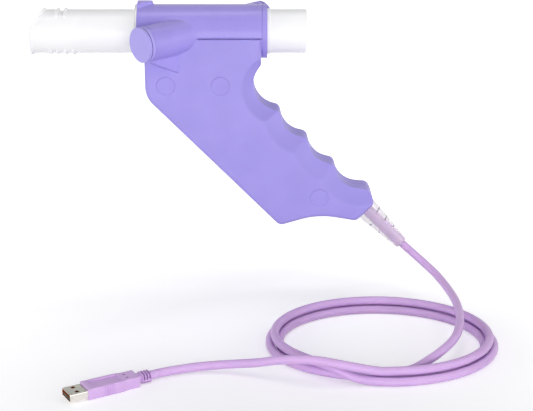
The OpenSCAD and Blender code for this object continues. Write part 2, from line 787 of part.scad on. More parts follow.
module transducer_headers() {
    color("#efe9d8") for (share = lead_header_shares)
        on_board(board_place(share), lead_header_size);
}
module cable_header() {
    color("#efe9d8") on_board(cable_header_at, cable_header_size);
}
module cable_connector() {
    color("#3a3a40") on_board(cable_header_at, connector_size, cable_header_size[1] + chip_gap);
}
module screw(p, head_y, shank, r, cap_r, cap_h) {
    translate([0, head_y, 0]) {
        y_cyl(p, -cap_h, 0, cap_r);
        y_cyl(p, -over / 2, shank, r);
    }
}
module board_screws() {
    color("#b9bcc4") for (p = board_posts)
        screw(grip(p[0], p[1]), board_y - chip_gap, board_screw_l, board_screw_r,
            2 * board_screw_r, board_screw_h);
}
module shell_screws() {
    color("#b9bcc4") for (p = screw_xz)
        difference() {
            screw(p, -head_seat - fit, screw_l, screw_r, head_r, head_h);
            translate([0, -head_seat - head_h - fit, 0]) y_cyl(p, -over, head_h / 2, screw_r * 0.8, $fn = 6);
        }
}
module screw_plugs() {
    bevel = 0.3;
    color("#9c90dc") for (p = screw_xz)
        translate([p[0], -handle_t / 2 + plug_t - fit, p[1]]) rotate([90, 0, 0]) rotate_extrude()
            polygon([[0, 0], [plug_r, 0], [plug_r, plug_t - bevel], [plug_r - bevel, plug_t], [0, plug_t]]);
}

module strain_relief() {
    flange_end = toe_u - toe_wall - fit;
    cuff_end = toe_u + relief_cuff_l;
    shape = [[0, flange_end - relief_flange_t], [relief_flange_r, flange_end - relief_flange_t],
        [relief_flange_r, flange_end], [relief_neck_r, flange_end], [relief_neck_r, toe_u + fit],
        [relief_d / 2, toe_u + fit], [relief_d / 2, cuff_end],
        [relief_tip_d / 2, relief_end_u], [0, relief_end_u]];
    color("#e9d5ee") in_grip() translate([0, 0, cable_v]) difference() {
        rotate([0, 90, 0]) rotate_extrude() polygon(shape);
        x_cyl(0, relief_end_u + over, cable_r + fit);
        for (k = [1:3]) for (side = [-1, 1])
            translate([toe_u + k * slot_pitch + (side + 1) * slot_pitch / 4, 0, side * relief_d / 2])
                cube([slot_w, relief_d, relief_d / 2], center = true);
    }
}
module cable_tail() {
    line = concat([[relief_end_u, 0, cable_v]], [for (k = [3:-1:1]) [toe_u + k * relief_l / 4, 0, cable_v]],
        smooth(concat(tail_points, [tail_end]), 2));
    pts = [for (p = line) from_grip(p)];
    color("#d4b2e6") cable(pts, pts[1] - pts[0], from_grip([-1, 0, 0]), cable_r, 10, [0, 1, 0]);
}

// Centre of the coil's tube after t turns: it starts innermost on the table,
// moves out one step each turn, and the last turn climbs onto the other two
function coil_point(t) =
    let (out = coil_step * (ease(t, 0.02, 0.22) + ease(t, 1.02, 1.22) - 2 - 0.5 * ease(t, 2.03, 2.14)),
        up = coil_step * (ease(t, 2.02, 2.1) - 0.12 * ease(t, 2.14, 2.3)))
    [coil_mid[0] - (coil_half[0] + out) * sin(360 * t), coil_mid[1] - (coil_half[1] + out) * cos(360 * t),
        lie_z + up];
coil_rings = coil_turns * rings_per_turn;
coil_line = concat([coil_point(0) + cable_d * unit(coil_in)],
    [for (k = [0:coil_rings]) coil_point(k / rings_per_turn)],
    [coil_point(coil_turns) - [cable_d, 0, 0]]);
// Least gap between two turns, from each centre to the stretches a turn or more away
function to_stretch(p, a, b) = let (f = min(1, max(0, (p - a) * (b - a) / ((b - a) * (b - a)))))
    norm(p - a - f * (b - a));
coil_gap = min([for (i = [0:coil_rings + 1]) for (j = [i + rings_per_turn / 2:coil_rings + 1])
    to_stretch(coil_line[i], coil_line[j], coil_line[j + 1])]) - cable_d;
echo(coil_gap = coil_gap);

relief_tip = from_grip([relief_end_u, 0, cable_v]);
drop_line = concat([relief_tip], drop_points, [coil_line[0]]);
lead_line = concat([coil_line[coil_rings + 2]], lead_points, [plug_at]);
module cord_drop() {
    color("#d4b2e6") cable(drop_line, from_grip([1, 0, 0]), -coil_in, cable_r, 8);
}
module cord_coil() {
    color("#d4b2e6") cable(coil_line, -coil_in, [-1, 0, 0], cable_r, 6);
}
module cord_lead() {
    color("#d4b2e6") cable(lead_line, [-1, 0, 0], [cos(plug_yaw), sin(plug_yaw), 0], cable_r, 8);
}

module at_plug(x = 0) {
    translate(plug_at) rotate([0, 0, plug_yaw]) translate([x, 0, 0]) children();
}
body_start = neck_l;
body_end = neck_l + body_l;
// Plan of the plug's body: wide at the shell, a little narrower at the cord
waist = [for (share = waist_shares) body_start + share * body_l];
body_side = [[body_start, body_rear_w / 2, body_rear_round], [waist[0], body_rear_w / 2, body_waist_round],
    [waist[1], body_w / 2, body_waist_round], [body_end, body_w / 2, body_front_round]];
body_corners = concat([for (c = body_side) [c[0], -c[1], c[2]]], [for (k = [3:-1:0]) body_side[k]]);
function body_ring(d, z) = [for (p = outline(body_corners, d)) [p[0], p[1], z]];
module plug_body() {
    low = -body_h / 2;
    steps = [for (k = [0:3]) [body_round * (1 - sin(30 * k)), body_round * (1 - cos(30 * k))]];
    color("#cdb0e2") at_plug() {
        difference() {
            skin(concat([for (s = steps) body_ring(s[0], low + s[1])],
                [for (k = [3:-1:0]) body_ring(steps[k][0], -low - steps[k][1])]));
            translate([body_start + panel_share * body_l, 0, body_h - panel_depth])
                cube([panel_l, panel_w, body_h], center = true);
            translate([body_end - tongue_l / 2, -shell_w / 2 - fit, -shell_h / 2 - fit])
                cube([body_l, shell_w + 2 * fit, shell_h + 2 * fit]);
        }
        x_cyl(0, body_start + body_round, neck_r);
        difference() {
            translate([neck_block_at + neck_block[0] / 2, 0, 0]) cube(neck_block, center = true);
            for (k = [1:3]) for (side = [-1, 1])
                translate([neck_block_at + k * neck_slot_pitch, 0, side * neck_block[2] / 2])
                    cube([neck_slot_w, neck_block[1] * 2 / 3, 2 * neck_slot_depth], center = true);
        }
    }
}
module plug_shell() {
    inner_w = shell_w - 2 * shell_sheet;
    inner_h = shell_h - 2 * shell_sheet;
    color("#c9c6c2") at_plug(body_end - tongue_l / 2 + fit) difference() {
        translate([0, -shell_w / 2, -shell_h / 2]) cube([shell_l + tongue_l / 2, shell_w, shell_h]);
        translate([shell_sheet, -inner_w / 2, -inner_h / 2]) cube([2 * shell_l, inner_w, inner_h]);
        for (side = [-1, 1])
            translate([tongue_l / 2 + shell_l / 2, side * shell_w / 4, 0])
                cube([latch_hole, latch_hole, 2 * shell_h], center = true);
    }
}
module plug_tongue() {
    inner_h = shell_h - 2 * shell_sheet;
    tongue_w = shell_w - 2 * shell_sheet - 4 * fit;
    color("#2b2724") at_plug(body_end - tongue_l / 2 + shell_sheet + 2 * fit)
        translate([0, -tongue_w / 2, -inner_h / 2 + fit]) {
            cube([tongue_l / 2, tongue_w, inner_h - 2 * fit]);
            cube([shell_l + tongue_l / 2 - mouth_step, tongue_w, tongue_h]);
        }
}
module plug_contacts() {
    inner_h = shell_h - 2 * shell_sheet;
    color("#d9a441") for (k = [0:3])
        at_plug(body_end + over)
            translate([0, (k - 1.5) * contact_pitch - contact_w / 2, tongue_h + fit + chip_gap - inner_h / 2])
                cube([shell_l - over - contact_back, contact_w, contact_t]);
}

handle_front_shell();
handle_back_shell();
sensor_barrel();
barrel_end_ring();
front_transducer_cap();
rear_transducer_cap();
front_transducer();
rear_transducer();
front_transducer_ring();
rear_transducer_ring();
front_transducer_lead();
rear_transducer_lead();
breathing_tube();
front_window_mesh();
rear_window_mesh();
circuit_board();
processor_chip();
pulse_driver_chip();
usb_interface_chip();
crystal_can();
transducer_headers();
cable_header();
board_screws();
shell_screws();
screw_plugs();
strain_relief();
cable_tail();
cable_connector();
cord_drop();
cord_coil();
cord_lead();
plug_body();
plug_shell();
plug_tongue();
plug_contacts();
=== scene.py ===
# Ultrasonic spirometer handset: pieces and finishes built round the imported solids.
# Sizes are in millimetres in the settings and in metres in the meshes.
import math
import bmesh
import bpy
import numpy as np
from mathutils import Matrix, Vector, geometry


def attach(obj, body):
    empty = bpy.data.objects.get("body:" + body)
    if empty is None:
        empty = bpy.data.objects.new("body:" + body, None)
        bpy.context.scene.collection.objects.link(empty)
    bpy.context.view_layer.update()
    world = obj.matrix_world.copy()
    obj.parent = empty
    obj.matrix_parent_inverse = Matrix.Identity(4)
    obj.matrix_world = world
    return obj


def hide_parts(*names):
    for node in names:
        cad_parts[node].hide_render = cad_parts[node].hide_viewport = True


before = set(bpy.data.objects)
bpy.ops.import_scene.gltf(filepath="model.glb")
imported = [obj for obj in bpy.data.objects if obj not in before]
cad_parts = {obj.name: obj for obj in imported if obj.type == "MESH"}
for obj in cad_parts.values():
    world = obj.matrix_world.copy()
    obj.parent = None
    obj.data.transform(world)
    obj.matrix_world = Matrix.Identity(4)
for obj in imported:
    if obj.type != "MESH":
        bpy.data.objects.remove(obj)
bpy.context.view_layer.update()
mm = 0.001
joinGap = 0.0005


def linked(name, data):
    # a new object in the scene
    made = bpy.data.objects.new(name, data)
    bpy.context.scene.collection.objects.link(made)
    return made


cameraView = {"lens": 86.72, "sensor": 36.0, "place": (0.0214, -0.8247, 0.2033), "pitch": 72.54}
cameraData = bpy.data.cameras.new("studioCamera")
cameraData.lens = cameraView["lens"]
cameraData.sensor_width = cameraView["sensor"]
camera = linked("studioCamera", cameraData)
camera.location = cameraView["place"]
camera.rotation_euler = (math.radians(cameraView["pitch"]), 0, 0)
bpy.context.scene.camera = camera
bpy.context.scene.view_settings.view_transform = "Standard"
print("camera ready")


# helpers for lines and grids of points, starting with rows divided by their lengths
def unitRows(v):
    return v / np.linalg.norm(v, axis=-1, keepdims=True)


def roundedLine(corners, steps=8, closed=True):
    # a corner (x, y, rounding) becomes an arc that touches both of its sides
    line, count = [], len(corners)
    for i, (x, y, r) in enumerate(corners):
        here = np.array((x, y), float)
        if r == 0 or (not closed and i in (0, count - 1)):
            line.append(here[None])
            continue
        e1 = unitRows(np.array(corners[i - 1][:2], float) - here)
        e2 = unitRows(np.array(corners[(i + 1) % count][:2], float) - here)
        half = math.acos(float(e1 @ e2)) / 2
        middle = here + unitRows(e1 + e2) * r / math.sin(half)
        first, last = here + e1 * r / math.tan(half) - middle, here + e2 * r / math.tan(half) - middle
        start = math.atan2(first[1], first[0])
        sweep = (math.atan2(last[1], last[0]) - start + math.pi) % (2 * math.pi) - math.pi
        angle = start + sweep * np.linspace(0, 1, steps + 1)
        line.append(middle + r * np.stack((np.cos(angle), np.sin(angle)), 1))
    return np.concatenate(line)


def roundMiddle(a, b, c, r):
    # middle of the arc at corner b
    e1, e2 = (unitRows(np.array(p[:2], float) - np.array(b[:2], float)) for p in (a, c))
    return np.array(b[:2], float) + unitRows(e1 + e2) * r / math.sin(math.acos(float(e1 @ e2)) / 2)


def evenLine(line, spacing, closed=True):
    # points at even distances along a line
    pts = np.vstack((line, line[:1])) if closed else line
    reach = np.concatenate(([0], np.cumsum(np.linalg.norm(np.diff(pts, axis=0), axis=1))))
    count = max(8, int(round(reach[-1] / spacing)))
    at = np.linspace(0, reach[-1], count + (0 if closed else 1), endpoint=not closed)
    return np.stack([np.interp(at, reach, pts[:, k]) for k in range(pts.shape[1])], 1)


def gridFaces(rows, columns, closedRows=False, closedColumns=True):
    # quads between neighbouring rows and columns of a grid of points
    r = np.arange(rows if closedRows else rows - 1)[:, None]
    c = np.arange(columns if closedColumns else columns - 1)[None]
    r2, c2 = (r + 1) % rows, (c + 1) % columns
    quads = (r * columns + c, r * columns + c2, r2 * columns + c2, r2 * columns + c)
    return np.stack([np.broadcast_to(q, (r.size, c.size)).ravel() for q in quads], 1)


def lathe(profile, sides=96, closed=False):
    # a line of (radius, height) turned about its axis, the ends closed by flat faces
    angle = np.linspace(0, 2 * math.pi, sides, endpoint=False)
    radius, height = profile[:, 0][:, None], profile[:, 1][:, None]
    points = np.stack((radius * np.cos(angle), radius * np.sin(angle), height + 0 * angle), 2)
    groups = [gridFaces(len(profile), sides, closed)]
    if not closed:
        groups += [np.arange(sides)[::-1], (len(profile) - 1) * sides + np.arange(sides)]
    return points.reshape(-1, 3), groups


def loft(rings):
    # rings with equal counts joined in turn, the two ends closed by flat faces
    rings = np.asarray(rings)
    count, sides = rings.shape[:2]
    caps = [np.arange(sides)[::-1], (count - 1) * sides + np.arange(sides)]
    return rings.reshape(-1, 3), [gridFaces(count, sides)] + caps


def basis(axis, side=(0, 0, 1)):
    # three directions, the last one along the axis
    w = unitRows(np.array(axis, float))
    u = unitRows(np.array(side, float) - (np.array(side, float) @ w) * w)
    return np.stack((u, np.cross(w, u), w))


def placed(part, origin, axes):
    # a part turned to the given directions and moved to the origin
    return part[0] @ axes + np.array(origin, float), part[1]


def blockLine(x, y, round, steps):
    # a rectangle with rounded corners, from its half sides
    return roundedLine([(-x, -y, round), (x, -y, round), (x, y, round), (-x, y, round)], steps)


def box(size, middle, round=0.0):
    # a block with rounded upright corners
    x, y, z = (s / 2 for s in size)
    line = blockLine(x, y, round, 4)
    rings = [np.column_stack((line, np.full(len(line), h))) for h in (-z, z)]
    points, groups = loft(rings)
    return points + np.array(middle, float), groups


def curveThrough(points, steps):
    # smooth curve through points, each piece a cubic with the slopes of its neighbours
    p = np.array(points, float)
    ends = np.vstack((2 * p[0] - p[1], p, 2 * p[-1] - p[-2]))
    t = np.linspace(0, 1, steps, endpoint=False)[None, :, None]
    p0, p1, p2, p3 = (ends[k:len(ends) - 3 + k][:, None] for k in range(4))
    bend = (2 * p0 - 5 * p1 + 4 * p2 - p3) + t * (3 * (p1 - p2) + p3 - p0)
    line = p1 + 0.5 * t * ((p2 - p0) + t * bend)
    return np.vstack((line.reshape(-1, 3), p[-1]))


def sweep(path, radius, sides):
    # a circle carried along a path, its side direction carried on without twisting
    t = unitRows(np.gradient(path, axis=0))
    n = np.zeros_like(t)
    side = np.array((0.0, 0.0, 1.0)) if abs(t[0][2]) < 0.9 else np.array((0.0, 1.0, 0.0))
    for i in range(len(t)):
        side = unitRows(side - (side @ t[i]) * t[i])
        n[i] = side
    b = np.cross(t, n)
    angle = np.linspace(0, 2 * math.pi, sides, endpoint=False)[None, :, None]
    return loft(path[:, None] + radius * (np.cos(angle) * n[:, None] + np.sin(angle) * b[:, None]))


# helpers for meshes
def meshOf(name, parts):
    # one mesh from parts of (points, groups of faces)
    corners, sizes, base = [], [], 0
    for points, groups in parts:
        for group in groups:
            group = np.atleast_2d(np.asarray(group))
            corners.append((group + base).ravel())
            sizes.append(np.full(len(group), group.shape[1]))
        base += len(points)
    sizes, corners = np.concatenate(sizes), np.concatenate(corners)
    mesh = bpy.data.meshes.new(name)
    mesh.vertices.add(base)
    mesh.vertices.foreach_set("co", (np.concatenate([p for p, _ in parts]) * mm).ravel())
    mesh.loops.add(len(corners))
    mesh.loops.foreach_set("vertex_index", corners)
    mesh.polygons.add(len(sizes))
    mesh.polygons.foreach_set("loop_start", np.cumsum(sizes) - sizes)
    mesh.update(calc_edges=True)
    return outwards(mesh)


def outwards(mesh, join=0.0):
    # every face turned outwards, and points closer than join made one
    work = bmesh.new()
    work.from_mesh(mesh)
    if join:
        bmesh.ops.remove_doubles(work, verts=work.verts, dist=join * mm)
    bmesh.ops.recalc_face_normals(work, faces=work.faces)
    work.to_mesh(mesh)
    work.free()
    return mesh


def solidCopy(node):
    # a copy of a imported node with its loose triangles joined
    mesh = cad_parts[node].data.copy()
    mesh.materials.clear()
    return outwards(mesh, joinGap)


def worked(mesh, steps, tools=()):
    # the mesh after modifiers, each (kind, settings); a boolean takes the next tool
    holder = linked("work", mesh)
    helpers = [linked("tool", t) for t in tools]
    waiting = iter(helpers)
    for kind, settings in steps:
        modifier = holder.modifiers.new(kind, kind)
        if kind == "BOOLEAN":
            modifier.object = next(waiting)
            modifier.solver = "MANIFOLD"
        for key, value in settings.items():
            setattr(modifier, key, value)
    made = bpy.data.meshes.new_from_object(holder.evaluated_get(bpy.context.evaluated_depsgraph_get()))
    for o in [holder] + helpers:
        bpy.data.objects.remove(o)
    made.materials.clear()
    return made


def cutFrom(mesh, tools, operation="DIFFERENCE"):
    # the mesh after one boolean with each of the tools
    return worked(mesh, [("BOOLEAN", {"operation": operation})] * len(tools), tools)


def cutBy(mesh, parts):
    # the mesh with each part cut away
    return cutFrom(mesh, [meshOf("tool", [part]) for part in parts])


def softened(mesh, voxel, rounds):
    # remeshed to even cells and relaxed, which rounds every edge
    return worked(mesh, [("REMESH", {"mode": "VOXEL", "voxel_size": voxel * mm}),
                         ("SMOOTH", {"factor": 0.5, "iterations": rounds})])


def faceRows(mesh, what):
    # the centre or the normal of each face, one row each
    rows = np.zeros(len(mesh.polygons) * 3)
    mesh.polygons.foreach_get(what, rows)
    return rows.reshape(-1, 3)


def toneFaces(mesh, index):
    # the material index of each face
    mesh.polygons.foreach_set("material_index", index.astype(np.int32))


def newPiece(name, mesh, finish, nodes, body="handset", sharp=32):
    # a smooth object that rides a body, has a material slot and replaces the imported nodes
    mesh.name = name
    mesh.polygons.foreach_set("use_smooth", np.ones(len(mesh.polygons), bool))
    mesh.set_sharp_from_angle(angle=math.radians(sharp))
    piece = linked(name, mesh)
    mesh.materials.append(finish)
    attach(piece, body)
    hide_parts(*nodes)
    return piece


# finishes
def shade(colour):
    # a screen colour of 0 to 255 as light
    c = np.array(colour, float) / 255
    return tuple(np.where(c <= 0.04045, c / 12.92, ((c + 0.055) / 1.055) ** 2.4)) + (1.0,)


def wired(tree, kind, inputs, operation=None):
    # a new shader node whose inputs take links or plain values
    node = tree.nodes.new("ShaderNode" + kind)
    if operation:
        node.operation = operation
    for key, value in inputs.items():
        if isinstance(value, bpy.types.NodeSocket):
            tree.links.new(value, node.inputs[key])
        else:
            node.inputs[key].default_value = value
    return node


def mapRange(tree, value, given, made):
    # one span of values taken to another
    spans = zip(("From Min", "From Max", "To Min", "To Max"), (*given, *made))
    return wired(tree, "MapRange", {"Value": value, **dict(spans)}).outputs["Result"]


def noise(tree, place, scale, detail):
    # a cloudy pattern of values round one half
    return wired(tree, "TexNoise", {"Vector": place, "Scale": scale, "Detail": detail}).outputs["Fac"]


usualLook = {"drift": 45, "driftDetail": 3, "toneSpan": (0.35, 0.65), "grain": 2600, "grainDetail": 2,
             "stretch": (1, 1, 1), "bump": 0.25, "depth": 0.02, "shader": {}}


def finishOf(name, look):
    # a wide noise drifts the colour, and a fine grain moves the roughness and stands in the bump
    look = {**usualLook, **look}
    material = bpy.data.materials.new(name)
    material.use_nodes = True
    tree = material.node_tree
    shader = tree.nodes["Principled BSDF"]
    place = wired(tree, "TexCoord", {}).outputs["Object"]
    tones = wired(tree, "ValToRGB", {"Fac": noise(tree, place, look["drift"], look["driftDetail"])})
    for stop, position, tone in zip(tones.color_ramp.elements, look["toneSpan"], ("low", "high")):
        stop.position = position
        stop.color = shade(look[tone])
    stretch = wired(tree, "Mapping", {"Vector": place, "Scale": look["stretch"]}).outputs["Vector"]
    grain = noise(tree, stretch, look["grain"], look["grainDetail"])
    bump = wired(tree, "Bump", {"Height": grain, "Strength": look["bump"], "Distance": look["depth"] * mm})
    tree.links.new(tones.outputs["Color"], shader.inputs["Base Color"])
    tree.links.new(mapRange(tree, grain, (0, 1), look["rough"]), shader.inputs["Roughness"])
    tree.links.new(bump.outputs["Normal"], shader.inputs["Normal"])
    for key, value in look["shader"].items():
        shader.inputs[key].default_value = value
    return material


metal = {"Metallic": 1.0}
gripPlastic = {"rough": (0.42, 0.52), "grain": 1900, "depth": 0.03,
               "shader": {"Specular IOR Level": 0.3, "Subsurface Weight": 0.08, "Subsurface Scale": 0.004}}
plugSheet = {"rough": (0.16, 0.3), "grain": 1200, "stretch": (9, 1, 1), "shader": metal}
looks = {
    "handle": {"low": (158, 147, 223), "high": (163, 151, 227), **gripPlastic},
    "barrel": {"low": (157, 144, 224), "high": (162, 149, 228), "rough": (0.24, 0.32), "grain": 2400,
               "shader": {"Specular IOR Level": 0.35}},
    "cap": {"low": (168, 157, 230), "high": (173, 161, 234), "rough": (0.4, 0.5), "grain": 2200},
    # painted shade: a darker purple for the groove behind each cap disc
    "capGrooveShade": {"low": (104, 90, 172), "high": (114, 100, 182), "rough": (0.5, 0.6), "grain": 2200},
    "ring": {"low": (152, 139, 220), "high": (157, 144, 224), "rough": (0.34, 0.44), "grain": 2400},
    "disc": {"low": (158, 146, 223), "high": (162, 150, 227), **gripPlastic},
    "tube": {"low": (247, 247, 249), "high": (251, 251, 252), "rough": (0.3, 0.42), "grain": 1500,
             "depth": 0.012, "shader": {"Subsurface Weight": 0.12, "Subsurface Scale": 0.003,
                                        "Subsurface Radius": (1, 1, 1)}},
    "mesh": {"low": (226, 228, 232), "high": (240, 241, 244), "rough": (0.45, 0.6), "grain": 3000},
    "silver": {"low": (196, 198, 203), "high": (214, 216, 220), "rough": (0.22, 0.36), "grain": 900,
               "stretch": (1, 1, 9), "shader": metal},
    "steel": {"low": (176, 178, 184), "high": (199, 201, 206), "rough": (0.2, 0.36), "grain": 1600,
              "stretch": (1, 8, 1), "shader": metal},
    "rubber": {"low": (42, 42, 47), "high": (55, 55, 60), "rough": (0.6, 0.8), "grain": 2200,
               "depth": 0.04},
    "lead": {"low": (229, 224, 212), "high": (239, 235, 226), "rough": (0.4, 0.5), "grain": 1800},
    "laminate": {"low": (24, 92, 58), "high": (38, 120, 78), "rough": (0.3, 0.45), "grain": 700,
                 "drift": 260},
    "epoxy": {"low": (30, 31, 35), "high": (44, 45, 50), "rough": (0.5, 0.65), "depth": 0.03},
    "can": {"low": (188, 190, 195), "high": (206, 208, 212), "rough": (0.2, 0.32), "grain": 1400,
            "shader": metal},
    "header": {"low": (231, 225, 208), "high": (241, 236, 222), "rough": (0.4, 0.55), "grain": 2000},
    "black": {"low": (36, 34, 33), "high": (50, 47, 45), "rough": (0.38, 0.5), "grain": 2400},
    "gold": {"low": (222, 166, 62), "high": (238, 186, 84), "rough": (0.18, 0.3), "grain": 1500,
             "shader": metal},
    "cord": {"low": (201, 165, 219), "high": (208, 172, 224), "rough": (0.36, 0.48), "grain": 1400,
             "shader": {"Subsurface Weight": 0.1, "Subsurface Scale": 0.003}},
    "plugBody": {"low": (204, 169, 221), "high": (210, 175, 226), "rough": (0.4, 0.5), "grain": 2300,
                 "depth": 0.025},
    "plugShell": {"low": (228, 223, 214), "high": (240, 236, 228), **plugSheet},
    # the next two are painted shade: a darker grey for the shell's faces that look up, and a dark orange
    # for its inner faces
    "plugTopShade": {"low": (158, 157, 149), "high": (172, 171, 163), **plugSheet},
    "plugInside": {"low": (150, 78, 22), "high": (186, 104, 38), "rough": (0.3, 0.45), "grain": 1400,
                   "shader": {"Metallic": 0.5}},
    "vinyl": {"low": (250, 246, 249), "high": (254, 252, 253), "rough": (0.1, 0.18), "grain": 900,
              "depth": 0.01, "shader": {"Transmission Weight": 0.72, "IOR": 1.45}},
}
finishes = {name: finishOf(name + "Finish", look) for name, look in looks.items()}
print("finishes ready")

# cord: drop from the strain relief, coil of three turns on the table, lead to the plug
gripLean = math.radians(45)
# the spans of the coil's steps are in turns
cordWay = {
    "diameter": 5.3, "tableLevel": -120.0, "gripOffset": 21.5, "reliefEnd": 138.0,
    "coilMiddle": (92.9, -87.3), "coilHalf": (69.5, 58.7), "coilStep": 6.1, "turns": 3, "perTurn": 24,
    "stepsOut": ((0.02, 0.22), (1.02, 1.22)), "stepBack": (2.03, 2.14), "backShare": 0.5,
    "climb": (2.02, 2.1), "sink": (2.14, 2.3), "sinkShare": 0.12, "coilEntry": (1, 0.1, 0.1),
    "drop": [(122.5, -1, -91), (129, -5, -96), (136, -15, -100.5), (141, -31, -103.5), (143.5, -50, -104.5),
             (143.5, -69, -105.2), (141, -88, -106.2), (135.5, -105, -107.8), (125.5, -119, -110.3),
             (115, -128, -113.2), (107, -132.2, -115.6)],
    "lead": [(78, -144, -110), (64, -144, -107.2), (52, -143, -105.4), (40, -140, -105.8),
             (28, -136, -108.2), (16, -132.2, -111.4), (4, -128.6, -113.8), (-8, -126.8, -115.4),
             (-20, -127.4, -116.3), (-30, -130.2, -116.6), (-38, -133.3, -116.7)],
    "plugPlace": (-42.3, -135.5, -116.675), "plugYaw": 210.5, "steps": 5, "leastStep": 0.2, "sides": 20}


def gripPoint(u, y, v):
    # a point given down the grip, across it and towards the fingers
    c, s = math.cos(gripLean), math.sin(gripLean)
    return np.array((u * c + v * s, y, -u * s + v * c))


def ease(t, a, b):
    # 0 up to a, 1 from b on, and a smooth rise between
    x = np.clip((t - a) / (b - a), 0, 1)
    return x * x * (3 - 2 * x)


def coilPoints(t):
    # an ellipse that steps out each turn, and climbs onto itself in the last one
    w = cordWay
    out = sum(ease(t, *span) for span in w["stepsOut"]) - len(w["stepsOut"])
    out = w["coilStep"] * (out - w["backShare"] * ease(t, *w["stepBack"]))
    up = w["coilStep"] * (ease(t, *w["climb"]) - w["sinkShare"] * ease(t, *w["sink"]))
    (mx, my), (hx, hy) = w["coilMiddle"], w["coilHalf"]
    turn = 2 * math.pi * t
    lie = w["tableLevel"] + w["diameter"] / 2
    return np.stack((mx - (hx + out) * np.sin(turn), my - (hy + out) * np.cos(turn), lie + up), 1)


def cordPath():
    # one smooth curve through the drop, the coil and the lead, without points that fall together
    w = cordWay
    exit = gripPoint(w["reliefEnd"], 0, w["gripOffset"])
    coil = coilPoints(np.linspace(0, w["turns"], w["turns"] * w["perTurn"] + 1))
    start = coil[0] + w["diameter"] * unitRows(np.array(w["coilEntry"]))
    end = coil[-1] - np.array((w["diameter"], 0, 0))
    line = np.vstack((exit, w["drop"], start, coil, end, w["lead"], w["plugPlace"]))
    path = curveThrough(line, w["steps"])
    apart = np.linalg.norm(np.diff(path, axis=0), axis=1) > w["leastStep"]
    return np.vstack((path[:1], path[1:][apart]))


cordLine = cordPath()
cordSweep = sweep(cordLine, cordWay["diameter"] / 2, cordWay["sides"])
cordPiece = newPiece("cordRun", meshOf("cordRun", [cordSweep]), finishes["cord"],
                     ("cord_drop", "cord_coil", "cord_lead"))

# the cord's tail inside the grip, a little thinner than its clamp
tailLook = {"way": [(138, 0, 21.5), (128.75, 0, 21.5), (119.5, 0, 21.5), (110.25, 0, 21.5), (98, 0, 21.5),
                    (91, 0, 21.5), (87, 0, 20.6), (81, -0.2, 19.2), (78, -0.4, 17.6), (71, -1.4, 15.9),
                    (66, -2.6, 13.1), (62, -3.6, 10.6), (58.87, -4.1, 9.84)],
            "thinner": 0.02, "steps": 4, "sides": 20}
tailLine = curveThrough([gripPoint(*p) for p in tailLook["way"]], tailLook["steps"])
tailSweep = sweep(tailLine, cordWay["diameter"] / 2 - tailLook["thinner"], tailLook["sides"])
newPiece("cordTail", meshOf("cordTail", [tailSweep]), finishes["cord"], ("cable_tail",))
print("cord tail ready")

# plug, along its own axis from the cord to the mouth
plugLook = {
    "neck": 2.66, "core": 1.7, "bore": 0.5, "start": 14.0, "end": 46.5, "rearWide": 11.3, "frontWide": 13.1,
    "height": 6.65, "edge": 0.4, "edgeRows": 7, "waist": (21.6, 25.1), "rounds": (0.6, 6, 6, 0.5),
    "spacing": 0.45, "hollow": 30, "collarIn": 0.3, "collarRound": 0.5, "collarSides": 40,
    "block": (5.6, 14.2, 7.6, 6.0), "blockRound": 1.6, "blockEnd": ((0, 0.88), (0.12, 0.96), (0.3, 1)),
    "step": (11.7, 0.8), "stepEdge": ((-0.3, 1), (-0.1, 0.96)), "slots": (6.8, 8.6, 10.4),
    "slotWide": 1.15, "slotFloor": -0.5, "sideSlot": (3, 1.1, -1.95), "panel": (24.9, 43.2, 8.8),
    "panelDeep": 0.8, "panelRound": 0.7, "panelTool": 2, "pins": (20.7, 2.25, 0.85), "pinDeep": 2.6,
    "pinTool": 3, "pinSides": 16, "grip": (30.2, 37.1, 0.3), "gripCells": 5, "gripBar": 0.25,
    "shellStart": 41.75, "shellEnd": 57.5, "shellWide": 12.0, "shellHigh": 4.5, "sheet": 0.3, "fit": 0.1,
    "foldRounds": (0.4, 0.15), "shellRear": ((0, 0.98), (0.2, 1)), "shellLip": ((-0.1, 1), (0, 0.99)),
    "innerLip": ((0, 1.012), (-0.1, 1)), "latch": (52.05, 3.0, 2.3), "latchRound": 0.35,
    "tab": (47.9, 1.7, 0.7, 0.24), "tabRise": 0.06, "tabRound": 0.2, "toolHigh": 9, "innerMargin": 0.2,
    "mouthMargin": 0.05, "turnedIn": -0.3, "turnedUp": 0.75}
# blockEnd, stepEdge, shellRear, shellLip and innerLip are pairs of (place, scale of the outline)
plugTurn = math.radians(cordWay["plugYaw"])
plugAxes = basis((0, 0, 1), (math.cos(plugTurn), math.sin(plugTurn), 0))


def atPlug(part):
    # a part made along the plug's axis, put in the plug's place
    return placed(part, cordWay["plugPlace"], plugAxes)


def plugLoft(levels):
    # outlines across the plug's axis, each (place, line, scale), joined in turn
    return atPlug(loft([np.column_stack((np.full(len(line), x), line * k)) for x, line, k in levels]))


def cutAtPlug(mesh, parts):
    # the mesh with each part cut away at the plug's place
    return cutBy(mesh, [atPlug(part) for part in parts])


def joined(name, meshes):
    # several meshes as one, with their faces as they are
    work = bmesh.new()
    for m in meshes:
        work.from_mesh(m)
    mesh = bpy.data.meshes.new(name)
    work.to_mesh(mesh)
    work.free()
    return mesh


